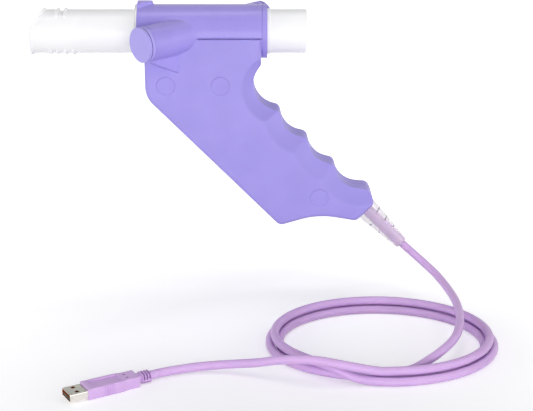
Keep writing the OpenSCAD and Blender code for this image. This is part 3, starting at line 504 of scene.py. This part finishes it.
def plugGripMesh():
    # the moulded grip: a waisted outline with rolled edges, a bare panel, two pin holes and side grooves
    p = plugLook
    halves = [p["rearWide"] / 2] * 2 + [p["frontWide"] / 2] * 2
    side = list(zip((p["start"], *p["waist"], p["end"]), halves, p["rounds"]))
    corners = [(x, -y, r) for x, y, r in side] + side[::-1]
    line = evenLine(roundedLine(corners, 8), p["spacing"])
    normal = unitRows(np.roll(line, -1, 0) - np.roll(line, 1, 0)) @ np.array(((0, -1), (1, 0)))
    turn = np.linspace(0, math.pi / 2, p["edgeRows"])
    top = p["height"] / 2
    inset, rise = p["edge"] * (1 - np.cos(turn)), top - p["edge"] * (1 - np.sin(turn))
    levels = [(i, -r) for i, r in zip(inset[::-1], rise[::-1])] + [(i, r) for i, r in zip(inset, rise)]
    rings = [np.column_stack((line - normal * i, np.full(len(line), z))) for i, z in levels]
    x0, x1, wide = p["panel"]
    tools = [box((x1 - x0, wide, p["panelTool"]),
                 ((x0 + x1) / 2, 0, top - p["panelDeep"] + p["panelTool"] / 2), p["panelRound"]),
             box((p["hollow"], p["shellWide"] + p["fit"], p["shellHigh"] + p["fit"]),
                 (p["shellStart"] + p["hollow"] / 2, 0, 0))]
    at, off, radius = p["pins"]
    hole = lathe(np.array(((radius, 0), (radius, p["pinTool"]))), p["pinSides"])
    tools += [placed(hole, (at, s * off, top - p["pinDeep"]), np.eye(3)) for s in (-1, 1)]
    g0, g1, deep = p["grip"]
    cell = (g1 - g0) / p["gripCells"]
    for s in (-1, 1):
        for k in range(p["gripCells"]):
            tools.append(box((cell - p["gripBar"], 2 * deep, p["toolHigh"]),
                             (g0 + (k + 0.5) * cell, s * p["frontWide"] / 2, 0)))
    return cutAtPlug(meshOf("plugBody", [atPlug(loft(rings))]), tools)


def plugBlockMesh():
    # the flexing block behind the grip, slotted from above and at its lower sides
    p = plugLook
    b0, b1, wide, high = p["block"]
    line = blockLine(wide / 2, high / 2, p["blockRound"], 8)
    step, small = p["step"]
    # a softened rear end, and a step down to the narrow front part
    levels = [(b0 + x, k) for x, k in p["blockEnd"]] + [(step + x, k) for x, k in p["stepEdge"]]
    levels += [(step, small), (b1, small)]
    long, tall, low = p["sideSlot"]
    tools = []
    for x in p["slots"]:
        tools.append(box((p["slotWide"], wide + 1, high), (x, 0, high / 2 + p["slotFloor"])))
        tools += [box((p["slotWide"], long, tall), (x, s * wide / 2, low)) for s in (-1, 1)]
    return cutAtPlug(meshOf("block", [plugLoft([(x, line, k) for x, k in levels])]), tools)


def plugNeckMesh():
    # the collar on the cord and the core inside the block
    p = plugLook
    b0, b1 = p["block"][:2]
    inside = b0 + p["collarIn"]
    line = roundedLine([(p["bore"], 0, 0), (p["neck"], 0, p["collarRound"]), (p["neck"], inside, 0),
                        (p["core"], inside, 0), (p["core"], b1, 0), (p["bore"], b1, 0)], 4)
    collar = lathe(line, p["collarSides"])
    return meshOf("neck", [atPlug(placed(collar, (0, 0, 0), basis((1, 0, 0))))])


def plugShellMesh():
    # a folded sheet: an outer and an inner tube with a closed end, and two latch holes on each wide side
    p = plugLook
    y, z, s = p["shellWide"] / 2, p["shellHigh"] / 2, p["sheet"]
    outer = blockLine(y, z, p["foldRounds"][0], 6)
    inner = blockLine(y - s, z - s, p["foldRounds"][1], 6)
    x0, x1 = p["shellStart"], p["shellEnd"]
    levels = [(x0 + x, outer, k) for x, k in p["shellRear"]]
    levels += [(x1 + x, outer, k) for x, k in p["shellLip"]]
    levels += [(x1 + x, inner, k) for x, k in p["innerLip"]] + [(x0 + s, inner, 1)]
    at, side, size = p["latch"]
    holes = [box((size, size, p["toolHigh"]), (at, k * side, 0), p["latchRound"]) for k in (-1, 1)]
    shell = cutAtPlug(meshOf("shell", [plugLoft(levels)]), holes)
    tab, long, wide, thick = p["tab"]
    raised = box((wide, long, thick), (tab, 0, z + p["tabRise"]), p["tabRound"])
    return joined("plugShell", [shell, meshOf("tab", [atPlug(raised)])])


def paintShellShade(mesh):
    # faces that look at the plug's own axis are the inner ones and take a dark orange, painted shade inside
    # the shell; those that look up take a darker grey, painted shade on the top
    p = plugLook
    local = (faceRows(mesh, "center") / mm - np.array(cordWay["plugPlace"])) @ plugAxes.T
    facing = faceRows(mesh, "normal") @ plugAxes.T
    half = np.array((p["shellWide"], p["shellHigh"])) / 2 - p["innerMargin"]
    within = (np.abs(local[:, 1:]) < half).all(1) & (local[:, 0] < p["shellEnd"] - p["mouthMargin"])
    inner = within | ((local * facing)[:, 1:].sum(1) < p["turnedIn"])
    toneFaces(mesh, np.where(inner, 1, np.where(facing[:, 2] > p["turnedUp"], 2, 0)))


plugMesh = joined("plugBody", [plugGripMesh(), plugBlockMesh(), plugNeckMesh()])
plugBody = newPiece("plugMoulding", plugMesh, finishes["plugBody"], ("plug_body",))
plugShell = newPiece("plugShell", plugShellMesh(), finishes["plugShell"],
                     ("plug_shell",))
# the shell's inner faces and its top faces take darker finishes: painted shade
for name in ("plugInside", "plugTopShade"):
    plugShell.data.materials.append(finishes[name])
paintShellShade(plugShell.data)

tongueLook = {"wide": 11.2, "high": 1.8, "start": 42.2, "end": 57.2, "lift": 0.05, "foot": (4.5, 1.9, 44.5),
              "soft": 0.12, "contactWide": 1.1, "contactThick": 0.16, "contactStart": 47.6,
              "contactEnd": 56.9, "contactRise": 0.13, "contactSoft": 0.05, "pitch": 2.4, "turnedUp": 0.9}


def tongueMeshes():
    # the tongue with its foot, and the four contacts on top of it
    t = tongueLook
    top = -plugLook["shellHigh"] / 2 + plugLook["sheet"] + t["lift"] + t["high"]
    tongue = box((t["end"] - t["start"], t["wide"], t["high"]),
                 ((t["start"] + t["end"]) / 2, 0, top - t["high"] / 2))
    long, tall, at = t["foot"]
    foot = box((long, t["wide"], tall), (at, 0, tall / 2))
    size = (t["contactEnd"] - t["contactStart"], t["contactWide"], t["contactThick"])
    middle = (t["contactEnd"] + t["contactStart"]) / 2
    contacts = [box(size, (middle, (k - 1.5) * t["pitch"], top + t["contactRise"])) for k in range(4)]
    made = []
    for name, parts, soft in (("plugTongue", (tongue, foot), t["soft"]),
                              ("plugContacts", contacts, t["contactSoft"])):
        bevel = {"width": soft * mm, "segments": 2, "limit_method": "ANGLE"}
        made.append(worked(meshOf(name, [atPlug(part) for part in parts]), [("BEVEL", bevel)]))
    return made


tongueMesh, contactMesh = tongueMeshes()
plugTongue = newPiece("plugTongue", tongueMesh, finishes["black"], ("plug_tongue",))
plugTongue.data.materials.append(finishes["plugInside"])
toneFaces(plugTongue.data, faceRows(plugTongue.data, "normal")[:, 2] > tongueLook["turnedUp"])
plugContacts = newPiece("plugContacts", contactMesh, finishes["gold"], ("plug_contacts",))
print("plug ready")

# handle shells
# corners of the outline (x, z, rounding); the ones marked by scoopCorners and webCorner are finger grooves
handleCorners = [(-56.7, 60.6, 0), (-56.7, 21.77, 16), (30.07, -65, 5), (55.55, -57.6, 50),
                 (81.04, -61.8, 4.5), (93, -49.84, 4.5), (89.04, -41.66, 5), (69.79, -39.39, 16),
                 (66.19, -24.75, 5), (51.55, -21.14, 16), (47.94, -6.51, 5), (33.30, -2.90, 16),
                 (29.70, 11.74, 5), (2.70, 18.20, 17.21), (18, 42.40, 4), (18, 60.6, 0)]
handleLook = {
    "halfThick": 18.0, "headTop": 59.6, "topGap": 0.15, "topBand": 1.2, "topCorner": 0.6, "edge": 3.0,
    "topEdge": 0.35, "skin": 0.06, "spacing": 0.9, "insets": (0, 0.1, 0.32, 0.68, 1.15, 1.75, 2.4, 3.05),
    "scoopCorners": (7, 9, 11), "webCorner": 13, "scoopReach": 10.4, "scoopDepth": 8.0, "scoopFlat": 0.7,
    "webShift": (-1.1, -2.0), "webShare": 0.78, "rimSoft": 0.4, "blend": 0.15, "rowSlack": 0.03,
    "rowShare": 0.87, "wideGrid": 1.3, "wideGap": 3.4, "fineGrid": 0.65, "fineGap": 3.3, "fineBand": 1.5,
    "plugs": [(-43.3, 29.5), (-8.2, 29.5), tuple(gripPoint(71.7, 0, 7.6)[[0, 2]])],
    "plugRadius": 5.95, "plugRing": 0.16, "ringWide": 0.28, "ringClear": 1.0, "ringSides": 72,
    "ringRows": (-0.7, -0.35, 0, 0.18, 0.38, 0.75), "wallShares": (0.04, 0.25, 0.6), "wallFoot": -0.6,
    "seam": ((0, -0.6), (0.04, -0.42), (0.13, -0.27), (0.35, -0.1), (0.35, 0.8))}


def scoopCones():
    # (middle, groove radius, reach) of each finger scoop; the first groove's is shifted and narrower
    h, c = handleLook, handleCorners
    cones = [(roundMiddle(c[i - 1], c[i], c[i + 1], c[i][2]), c[i][2], h["scoopReach"])
             for i in h["scoopCorners"]]
    k, shift = h["webCorner"], np.array(h["webShift"])
    web = roundMiddle(c[k - 1], c[k], c[k + 1], c[k][2]) + shift
    return cones + [(web, c[k][2] - np.linalg.norm(shift), h["scoopReach"] * h["webShare"])]


def edgeGap(points, line, batch=2000):
    # distance to the outline, nearest outline point, and whether the point lies inside
    a, b = line, np.roll(line, -1, 0)
    gap, near, inside = np.zeros(len(points)), np.zeros(len(points), int), np.zeros(len(points), bool)
    for k in range(0, len(points), batch):
        p = points[k:k + batch, None]
        share = np.clip(((p - a) * (b - a)).sum(2) / ((b - a) ** 2).sum(1), 0, 1)
        far = np.linalg.norm(p - a - share[..., None] * (b - a), axis=2)
        gap[k:k + batch], near[k:k + batch] = far.min(1), far.argmin(1)
        cross = (a[:, 1] > p[..., 1]) != (b[:, 1] > p[..., 1])
        level = np.where(cross, (p[..., 1] - a[:, 1]) / np.where(cross, b[:, 1] - a[:, 1], 1), 0)
        inside[k:k + batch] = (cross & (p[..., 0] < a[:, 0] + level * (b[:, 0] - a[:, 0]))).sum(1) % 2 == 1
    return gap, near, inside


def plugGaps(points):
    # distance of each point from the ring of each screw plug, negative inside it
    h = handleLook
    return [np.linalg.norm(points - np.array(plug), axis=1) - h["plugRadius"] for plug in h["plugs"]]


def faceFall(points, gap, edge):
    # how far the face lies below its flat: an arc along the edge, soft cones at the grooves (the softened
    # largest of the cones' depths), both blended by another soft largest, and a fine ring at each plug
    h = handleLook
    arc = edge - np.sqrt(np.clip(edge ** 2 - np.clip(edge - gap, 0, None) ** 2, 0, None))
    soft, flat, blend = h["rimSoft"], h["scoopFlat"], h["blend"]
    total = np.zeros(len(points))
    for middle, radius, reach in scoopCones():
        out = (np.linalg.norm(points - middle, axis=1) - radius) / reach
        fall = h["scoopDepth"] * (1 - flat * out - (1 - flat) * out * np.abs(out)) + h["skin"]
        total += np.exp(np.clip(fall / soft, -40, 40))
    scoop = soft * np.log1p(total)
    both = blend * np.logaddexp(arc / blend, scoop / blend)
    both -= blend * math.log(2) * np.exp(-(arc + scoop) / (2 * blend))
    for out in plugGaps(points):
        both += h["plugRing"] * np.exp(-(out / h["ringWide"]) ** 2)
    return both


def handleSamples(line, inward):
    # points of the face: rows along the edge, a wide grid, a fine one at the scoops and rings at the plugs
    h = handleLook
    rows = np.concatenate([line + inward * d for d in h["insets"][1:]])
    wanted = np.repeat(h["insets"][1:], len(line))
    samples = [rows[edgeGap(rows, line)[0] > wanted - h["rowSlack"]]]
    low, high = line.min(0), line.max(0)
    for spacing, least, fine in ((h["wideGrid"], h["wideGap"], False), (h["fineGrid"], h["fineGap"], True)):
        gx, gz = np.meshgrid(np.arange(low[0], high[0], spacing),
                             np.arange(low[1], high[1], spacing * h["rowShare"]))
        gx = gx + spacing / 2 * (np.arange(len(gx)) % 2)[:, None]
        grid = np.stack((gx.ravel(), gz.ravel()), 1)
        rim = np.min([np.linalg.norm(grid - m, axis=1) - r - reach for m, r, reach in scoopCones()], axis=0)
        grid = grid[(rim < h["fineBand"]) == fine]
        gap, _, inside = edgeGap(grid, line)
        clear = np.min(np.abs(plugGaps(grid)), axis=0)
        samples.append(grid[inside & (gap > least) & (clear > h["ringClear"])])
    turn = np.linspace(0, 2 * math.pi, h["ringSides"], endpoint=False)
    circle = np.stack((np.cos(turn), np.sin(turn)), 1)
    for plug in h["plugs"]:
        samples += [np.array(plug) + circle * (h["plugRadius"] + d) for d in h["ringRows"]]
    return samples


def handleBlank(front):
    # the outer form of a shell: a triangulated face sunk by faceFall, and a wall down to a softened seam
    h = handleLook
    last = len(handleCorners) - 1
    corners = [(x, min(z, h["headTop"] - h["topGap"]), h["topCorner"] if i in (0, last) else r)
               for i, (x, z, r) in enumerate(handleCorners)]
    line = evenLine(roundedLine(corners, 24), h["spacing"])
    tangent = unitRows(np.roll(line, -1, 0) - np.roll(line, 1, 0))
    area = (line[:, 0] * np.roll(line[:, 1], -1) - np.roll(line[:, 0], -1) * line[:, 1]).sum()
    inward = tangent @ np.array(((0, 1), (-1, 0))) * (1 if area > 0 else -1)
    line = line + inward * h["skin"]
    edge = np.where(line[:, 1] > h["headTop"] - h["topBand"], h["topEdge"], h["edge"])
    edge = np.convolve(np.concatenate((edge[-2:], edge, edge[:2])), np.ones(5) / 5, "valid")
    points = np.concatenate([line] + handleSamples(line, inward))
    count = len(line)
    ringEdges = [(i, (i + 1) % count) for i in range(count)]
    flat, _, faces, origins, _, _ = geometry.delaunay_2d_cdt(
        [Vector(p) for p in points], ringEdges, [], 1, 1e-5)
    flat = np.array([tuple(p) for p in flat])
    gap, near, _ = edgeGap(flat, line)
    fall = faceFall(flat, gap, edge[near])
    face = np.stack((flat[:, 0], fall - h["halfThick"], flat[:, 1]), 1)
    spot = np.zeros(count, int)
    for made, source in enumerate(origins):
        for s in source:
            if s < count:
                spot[s] = made
    top = face[spot]
    wallRows = [top]
    for share in h["wallShares"]:
        row = top.copy()
        row[:, 1] = top[:, 1] * (1 - share) + h["wallFoot"] * share
        wallRows.append(row)
    for inset, y in h["seam"]:
        ring = line + inward * inset
        wallRows.append(np.stack((ring[:, 0], np.full(count, float(y)), ring[:, 1]), 1))
    wall = np.concatenate(wallRows)
    lookup = np.concatenate((spot, len(face) + np.arange(len(wall) - count)))
    wallFaces = lookup[gridFaces(len(wallRows), count)]
    capFace = len(face) + (len(wallRows) - 2) * count + np.arange(count)
    points = np.concatenate((face, wall[count:]))
    if not front:
        points = points * np.array((1, -1, 1))
    triangles = np.array([f for f in faces if len(f) == 3])
    return meshOf("blank", [(points, [triangles, wallFaces, capFace])])


for side in ("front", "back"):
    node = "handle_" + side + "_shell"
    shell = cutFrom(solidCopy(node), [handleBlank(side == "front")], "INTERSECT")
    newPiece("handleShell" + side.capitalize(), shell, finishes["handle"], (node,),
             sharp=28)
print("handle shells ready")

# sensor barrel, end ring, caps, screw plugs
barrelPlace = (-20.0, 0.0, 62.0)
# the groove beside the end ring is (start, end, floor, top), and the ring (start, end, inner, outer);
# the head's slot is the dark line under the barrel
barrelLook = {
    "voxel": 0.55, "rounds": 4, "groove": (38.95, 39.5, 17.2, 18.3), "headSlot": (40.4, 2.6, 0.85),
    "headSlotPlace": (18.1, -16.6, -2.05), "leftEnd": -41.0, "leftCut": (20.2, -44.0),
    "ring": (38.74, 41.98, 15.95, 17.25), "ringRounds": (0.15, 0.25, 0.45, 0.2), "frontReach": 49.9,
    "rearReach": 51.5, "capThick": 1.9, "capGap": 0.45, "housing": 11.1, "capOver": 0.05, "neck": 10.4,
    "capEdge": 0.35, "capRound": 0.2, "capBase": 45.53, "spigot": 8.55, "spigotEnd": 44.1, "pole": 0.3,
    "sides": 160, "capSides": 128, "faceMargin": 0.01, "wallMargin": 0.1}
soundAxis = {"rear": (0.7529, 0.6545, 0.0698), "front": (-0.7529, -0.6545, -0.0698)}


def atBarrel(part, axis=(1, 0, 0)):
    # a part made along the axis, put in the barrel's middle
    return placed(part, barrelPlace, basis(axis))


def barrelMesh():
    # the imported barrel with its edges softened, its groove, the slot under it and its left end cut
    b = barrelLook
    start, end, floorR, topR = b["groove"]
    groove = np.array(((floorR, start), (floorR, end), (topR, end), (topR, start)))
    slot = box(b["headSlot"], np.array(barrelPlace) + np.array(b["headSlotPlace"]))
    radius, far = b["leftCut"]
    leftEnd = lathe(np.array(((radius, far), (radius, b["leftEnd"]))))
    soft = softened(solidCopy("sensor_barrel"), b["voxel"], b["rounds"])
    return cutBy(soft, (atBarrel(lathe(groove, b["sides"], True)), slot, atBarrel(leftEnd)))


def ringMesh():
    # a rectangle with rounded corners turned about the barrel's axis
    b = barrelLook
    x0, x1, small, big = b["ring"]
    corners = zip((small, big, big, small), (x0, x0, x1, x1), b["ringRounds"])
    return meshOf("ring", [atBarrel(lathe(roundedLine(list(corners), 6), b["sides"], True))])


def capMesh(side):
    # a disc with a rolled rim, a groove behind it, the last of the housing and a spigot
    b = barrelLook
    face = b[side + "Reach"]
    back = face - b["capThick"]
    low, lip, soft = back - b["capGap"], b["housing"] + b["capOver"], b["capRound"]
    line = roundedLine([(b["pole"], b["spigotEnd"], 0), (b["spigot"], b["spigotEnd"], soft),
                        (b["spigot"], b["capBase"], 0), (b["housing"], b["capBase"], 0),
                        (b["housing"], low, soft), (b["neck"], low, 0), (b["neck"], back, 0),
                        (lip, back, soft), (lip, face - b["capEdge"], soft),
                        (b["housing"] - b["capEdge"], face, soft), (b["pole"], face, 0)], 7, False)
    return meshOf("cap", [atBarrel(lathe(line, b["capSides"]), soundAxis[side])])


def paintCapGrooveShade(mesh, side):
    # the faces of the groove behind the disc take a darker finish: painted shade
    b = barrelLook
    local = (faceRows(mesh, "center") / mm - barrelPlace) @ basis(soundAxis[side]).T
    back = b[side + "Reach"] - b["capThick"]
    sunk = (local[:, 2] > back - b["capGap"] - b["faceMargin"]) & (local[:, 2] < back + b["faceMargin"])
    toneFaces(mesh, sunk & (np.linalg.norm(local[:, :2], axis=1) < b["housing"] - b["wallMargin"]))


newPiece("sensorBarrel", barrelMesh(), finishes["barrel"], ("sensor_barrel",), sharp=50)
newPiece("barrelEndRing", ringMesh(), finishes["ring"], ("barrel_end_ring",))
for side in ("front", "rear"):
    cap = newPiece(side + "Cap", capMesh(side), finishes["cap"],
                   (side + "_transducer_cap",), sharp=50)
    # the groove behind the disc gets the darker finish, painted shade
    cap.data.materials.append(finishes["capGrooveShade"])
    paintCapGrooveShade(cap.data, side)
discLook = {"pole": 0.3, "radius": 5.9, "back": 15.65, "face": 18.03, "round": 0.4}
discLine = roundedLine([(discLook["pole"], discLook["back"], 0), (discLook["radius"], discLook["back"], 0),
                        (discLook["radius"], discLook["face"], discLook["round"]),
                        (discLook["pole"], discLook["face"], 0)], 6, False)
discs = [placed(lathe(discLine, 96), (x, 0, z), basis((0, -1, 0))) for x, z in handleLook["plugs"]]
newPiece("screwPlugs", meshOf("screwPlugs", discs), finishes["disc"], ("screw_plugs",))
print("barrel ready")

# strain relief
reliefLook = {"start": 95.0, "flange": 7.0, "flangeThick": 4.0, "neck": 6.0, "wallOut": 101.05,
              "wallGap": 0.05, "cuff": 104.0, "big": 7.7, "tip": 4.35, "end": 138.0, "bore": 2.5,
              "slotWide": 0.9, "slotFrom": 101, "slotPitch": 8.0, "slotRows": (1, 2, 3), "slotRound": 0.5,
              "rounds": (0, 0.4, 0.3, 0, 0, 0.5, 6, 1.0, 0.3)}


def reliefMesh():
    # a tapered sleeve round the cord, with staggered slots on its two edges
    r = reliefLook
    back, wallIn = r["start"] - r["flangeThick"], r["start"] - r["wallGap"]
    radii = [r[name] for name in ("bore", "flange", "flange", "neck", "neck", "big", "big", "tip", "bore")]
    places = (back, back, wallIn, wallIn, r["wallOut"], r["wallOut"], r["cuff"], r["end"], r["end"])
    line = roundedLine(list(zip(radii, places, r["rounds"])), 8)
    axes = basis((math.cos(gripLean), 0, -math.sin(gripLean)), (0, 1, 0))
    origin = gripPoint(0, 0, cordWay["gripOffset"])
    sleeve = meshOf("relief", [placed(lathe(line, 96, True), origin, axes)])
    tools = []
    for k in r["slotRows"]:
        for side in (-1, 1):
            at = r["slotFrom"] + k * r["slotPitch"] + (side + 1) * r["slotPitch"] / 4
            cut = box((2 * r["big"], r["big"], r["slotWide"]), (0, -side * r["big"], at), r["slotRound"])
            tools.append(placed(cut, origin, axes))
    return cutBy(sleeve, tools)


newPiece("strainRelief", reliefMesh(), finishes["vinyl"], ("strain_relief",))
print("strain relief ready")

# breathing tube
# lip is (place from the edge, radius), bodyLine is (place along the barrel's axis, radius)
tubeLook = {
    "outer": 14.0, "mouth": -110.6, "bevelLow": 2.8, "slope": 8.6 / 11.2, "edgeSwell": (0.35, 0.8),
    "join": -99.6, "blendRows": 8, "fineStep": 0.2, "fineEnd": -79.5, "columns": 192, "window": (7.5, 30.0),
    "ridges": (-98.72, -93.62, -88.52, -83.42), "upperRidges": (1, 2), "ridgeWide": 1.6, "ridgeRise": 1.1,
    "ridgeTurn": 0.75, "ridgeEase": 0.12, "recess": (-92.0, -88.54), "recessTurn": 0.58,
    "recessDeep": 0.8, "recessEase": (0.3, 0.03),
    "lip": [(0.75, 12.8), (0.42, 12.86), (0.16, 13.05), (0.02, 13.35), (0, 13.75), (0.04, 14.5),
            (0.16, 14.85), (0.4, 15.05), (1.2, 15.05), (1.42, 14.95), (1.52, 14.7), (1.56, 14.2),
            (1.62, 14.0)],
    "bodyLine": [(-79, 14.0), (-70, 14.0), (-60, 14.0), (-50, 14.0), (-43.1, 14.0), (-42.8, 14.1),
                 (-42.72, 14.4), (-42.7, 14.8), (-42.7, 17.0), (-42.65, 17.15), (-42.5, 17.18),
                 (-42.42, 17.1), (-42.4, 16.1), (-42.1, 16.1), (-42.08, 17.1), (-42.0, 17.25),
                 (-41.4, 17.28), (-41.15, 17.2), (-41.06, 17.0), (-41.05, 14.56), (-36, 14.55),
                 (-34.2, 14.55), (-34, 14.3), (-34, 14.0), (-20, 14.0), (0, 14.0), (20, 14.0), (34, 14.0),
                 (34, 14.3), (34.2, 14.55), (38, 14.55), (43.5, 14.55), (43.8, 14.45), (43.9, 14.2),
                 (43.95, 14.0), (50, 14.0), (58, 14.0), (66.4, 14.0), (66.8, 13.93), (67.08, 13.75),
                 (67.2, 13.45), (67.1, 13.1), (66.8, 12.88), (66.3, 12.8), (50, 12.8), (25, 12.8),
                 (0, 12.8), (-25, 12.8), (-50, 12.8), (-80, 12.8), (-95, 12.8)]}


def tubeMesh():
    # radius and place along the axis for each row and angle; the mouth's rows follow its slanted edge
    t = tubeLook
    angle = np.linspace(0, 2 * math.pi, t["columns"], endpoint=False)
    height = t["outer"] * np.cos(angle)
    lip = np.array(t["lip"])
    swellRise, swellReach = t["edgeSwell"]
    bulge = swellRise * np.exp(-np.abs(height - t["bevelLow"]) / swellReach)
    edge = t["mouth"] + t["slope"] * (np.maximum(0, height - t["bevelLow"]) + bulge)
    mouthX = edge[None] + lip[:, :1]
    mouthR = np.repeat(lip[:, 1:], t["columns"], 1)
    share = np.linspace(0, 1, t["blendRows"])[1:, None]
    blendX = mouthX[-1] + share * (t["join"] - mouthX[-1])
    fine = np.arange(t["join"] + t["fineStep"], t["fineEnd"], t["fineStep"])[:, None] + 0 * angle
    x = np.concatenate((blendX, fine))
    away = np.minimum(angle, 2 * math.pi - angle)[None]
    r = np.full_like(x, t["outer"])
    below = ease(-np.abs(away - math.pi), -t["ridgeTurn"], -t["ridgeTurn"] + t["ridgeEase"])
    above = ease(-away, -t["ridgeTurn"], -t["ridgeTurn"] + t["ridgeEase"])
    half = t["ridgeWide"] / 2
    for k, at in enumerate(t["ridges"]):
        # each ridge is a half circle in section, stretched to its rise
        swell = np.clip(1 - np.abs((x - at - half) / half), 0, 1)
        swell = np.sqrt(np.clip(1 - (1 - swell) ** 2, 0, 1)) * t["ridgeRise"]
        r += swell * below
        if k in t["upperRidges"]:
            r += swell * above
    (x0, x1), (run, turn) = t["recess"], t["recessEase"]
    hollow = ease(x, x0, x0 + run) * (1 - ease(x, x1 - run, x1))
    r -= t["recessDeep"] * hollow * ease(-away, -t["recessTurn"], -t["recessTurn"] + turn)
    line = np.array(t["bodyLine"])
    x = np.concatenate((mouthX, x, np.repeat(line[:, :1], t["columns"], 1)))
    r = np.concatenate((mouthR, r, np.repeat(line[:, 1:], t["columns"], 1)))
    points = np.stack((x, r * np.sin(angle), r * np.cos(angle)), 2).reshape(-1, 3) + np.array(barrelPlace)
    tube = meshOf("tube", [(points, [gridFaces(len(x), t["columns"], True)])])
    radius, reach = t["window"]
    window = lathe(np.array(((radius, -reach), (radius, reach))), 96)
    return cutBy(tube, [atBarrel(window, soundAxis["rear"])])


newPiece("breathingTube", tubeMesh(), finishes["tube"], ("breathing_tube",),
         "breathing_tube", sharp=35)
print("breathing tube ready")

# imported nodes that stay, by finish
keptNodes = {
    "mesh": ("front_window_mesh", "rear_window_mesh"), "silver": ("front_transducer", "rear_transducer"),
    "rubber": ("front_transducer_ring", "rear_transducer_ring"), "laminate": ("circuit_board",),
    "lead": ("front_transducer_lead", "rear_transducer_lead"), "can": ("crystal_can",),
    "epoxy": ("processor_chip", "pulse_driver_chip", "usb_interface_chip"), "black": ("cable_connector",),
    "header": ("transducer_headers", "cable_header"), "steel": ("board_screws", "shell_screws")}
for name, kept in keptNodes.items():
    for node in kept:
        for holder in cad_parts[node].material_slots:
            holder.material = finishes[name]
print("kept nodes ready")

# floor, world and lamps
floorLook = {"level": -0.12, "half": 3.0, "colour": (0.8, 0.8, 0.82, 1), "front": (-0.03, 0.25, 0),
             "span": (0.1, 0.62), "glow": (0.25, 0.94)}
floorMesh = bpy.data.meshes.new("floor")
h, z = floorLook["half"], floorLook["level"]
floorMesh.from_pydata([(-h, -h, z), (h, -h, z), (h, h, z), (-h, h, z)], [], [(0, 1, 2, 3)])
floor = linked("floor", floorMesh)


def seenDirectly(tree):
    # 1 for camera, glossy and transmission rays
    rays = wired(tree, "LightPath", {}).outputs
    first = wired(tree, "Math", {0: rays["Is Camera Ray"], 1: rays["Is Glossy Ray"]}, "MAXIMUM")
    return wired(tree, "Math", {0: first.outputs[0], 1: rays["Is Transmission Ray"]}, "MAXIMUM").outputs[0]


def floorFinish():
    # white paper that glows a little for direct looks, more with distance, and keeps shadows
    material = bpy.data.materials.new("floorPaper")
    material.use_nodes = True
    tree = material.node_tree
    tree.nodes.clear()
    place = wired(tree, "TexCoord", {}).outputs["Object"]
    shift = wired(tree, "VectorMath", {0: place, 1: floorLook["front"]})
    length = wired(tree, "VectorMath", {0: shift.outputs[0]}, "LENGTH")
    grow = mapRange(tree, length.outputs["Value"], floorLook["span"], floorLook["glow"])
    times = wired(tree, "Math", {0: grow, 1: seenDirectly(tree)}, "MULTIPLY")
    paper = wired(tree, "BsdfDiffuse", {"Color": floorLook["colour"]})
    glow = wired(tree, "Emission", {"Strength": times.outputs[0]})
    both = wired(tree, "AddShader", {0: paper.outputs[0], 1: glow.outputs[0]})
    wired(tree, "OutputMaterial", {"Surface": both.outputs[0]})
    return material


floorMesh.materials.append(floorFinish())
# the room is brighter at its sides than overhead, and white where it is seen
worldLook = {"heights": (0.15, 0.85), "light": (0.68, 0.14)}
world = bpy.data.worlds.new("studio")
bpy.context.scene.world = world
world.use_nodes = True
sky = world.node_tree
way = wired(sky, "TexCoord", {}).outputs["Generated"]
height = wired(sky, "SeparateXYZ", {0: way}).outputs["Z"]
level = mapRange(sky, height, worldLook["heights"], worldLook["light"])
strength = wired(sky, "Math", {0: level, 1: seenDirectly(sky)}, "MAXIMUM")
air = sky.nodes["Background"]
air.inputs["Color"].default_value = (1, 1, 1, 1)
sky.links.new(strength.outputs[0], air.inputs["Strength"])

lampAim = Vector((0.02, 0, 0))
lamps = {"frontLeft": {"place": (-1.4, -0.4, 0.25), "size": (0.9, 0.7), "power": 4.65},
         "frontRight": {"place": (1.35, -0.5, 0.2), "size": (0.9, 0.7), "power": 3.55},
         "upperRight": {"place": (0.85, -0.6, 0.85), "size": (0.35, 0.35), "power": 1.5},
         "frontLow": {"place": (0.02, -1.6, 0.06), "size": (1.3, 0.16), "power": 2.3},
         "overhead": {"place": (0.0, 0.03, 1.1), "size": (1.0, 0.14), "power": 2.7},
         "lowCard": {"place": (0.02, -0.62, -0.1), "size": (1.1, 0.4), "power": 3.45}}
for name, lamp in lamps.items():
    data = bpy.data.lights.new(name, "AREA")
    data.shape, data.energy = "RECTANGLE", lamp["power"]
    data.size, data.size_y = lamp["size"]
    holder = linked(name, data)
    holder.location = lamp["place"]
    holder.rotation_euler = (lampAim - Vector(lamp["place"])).to_track_quat("-Z", "Y").to_euler()
print("stage ready")
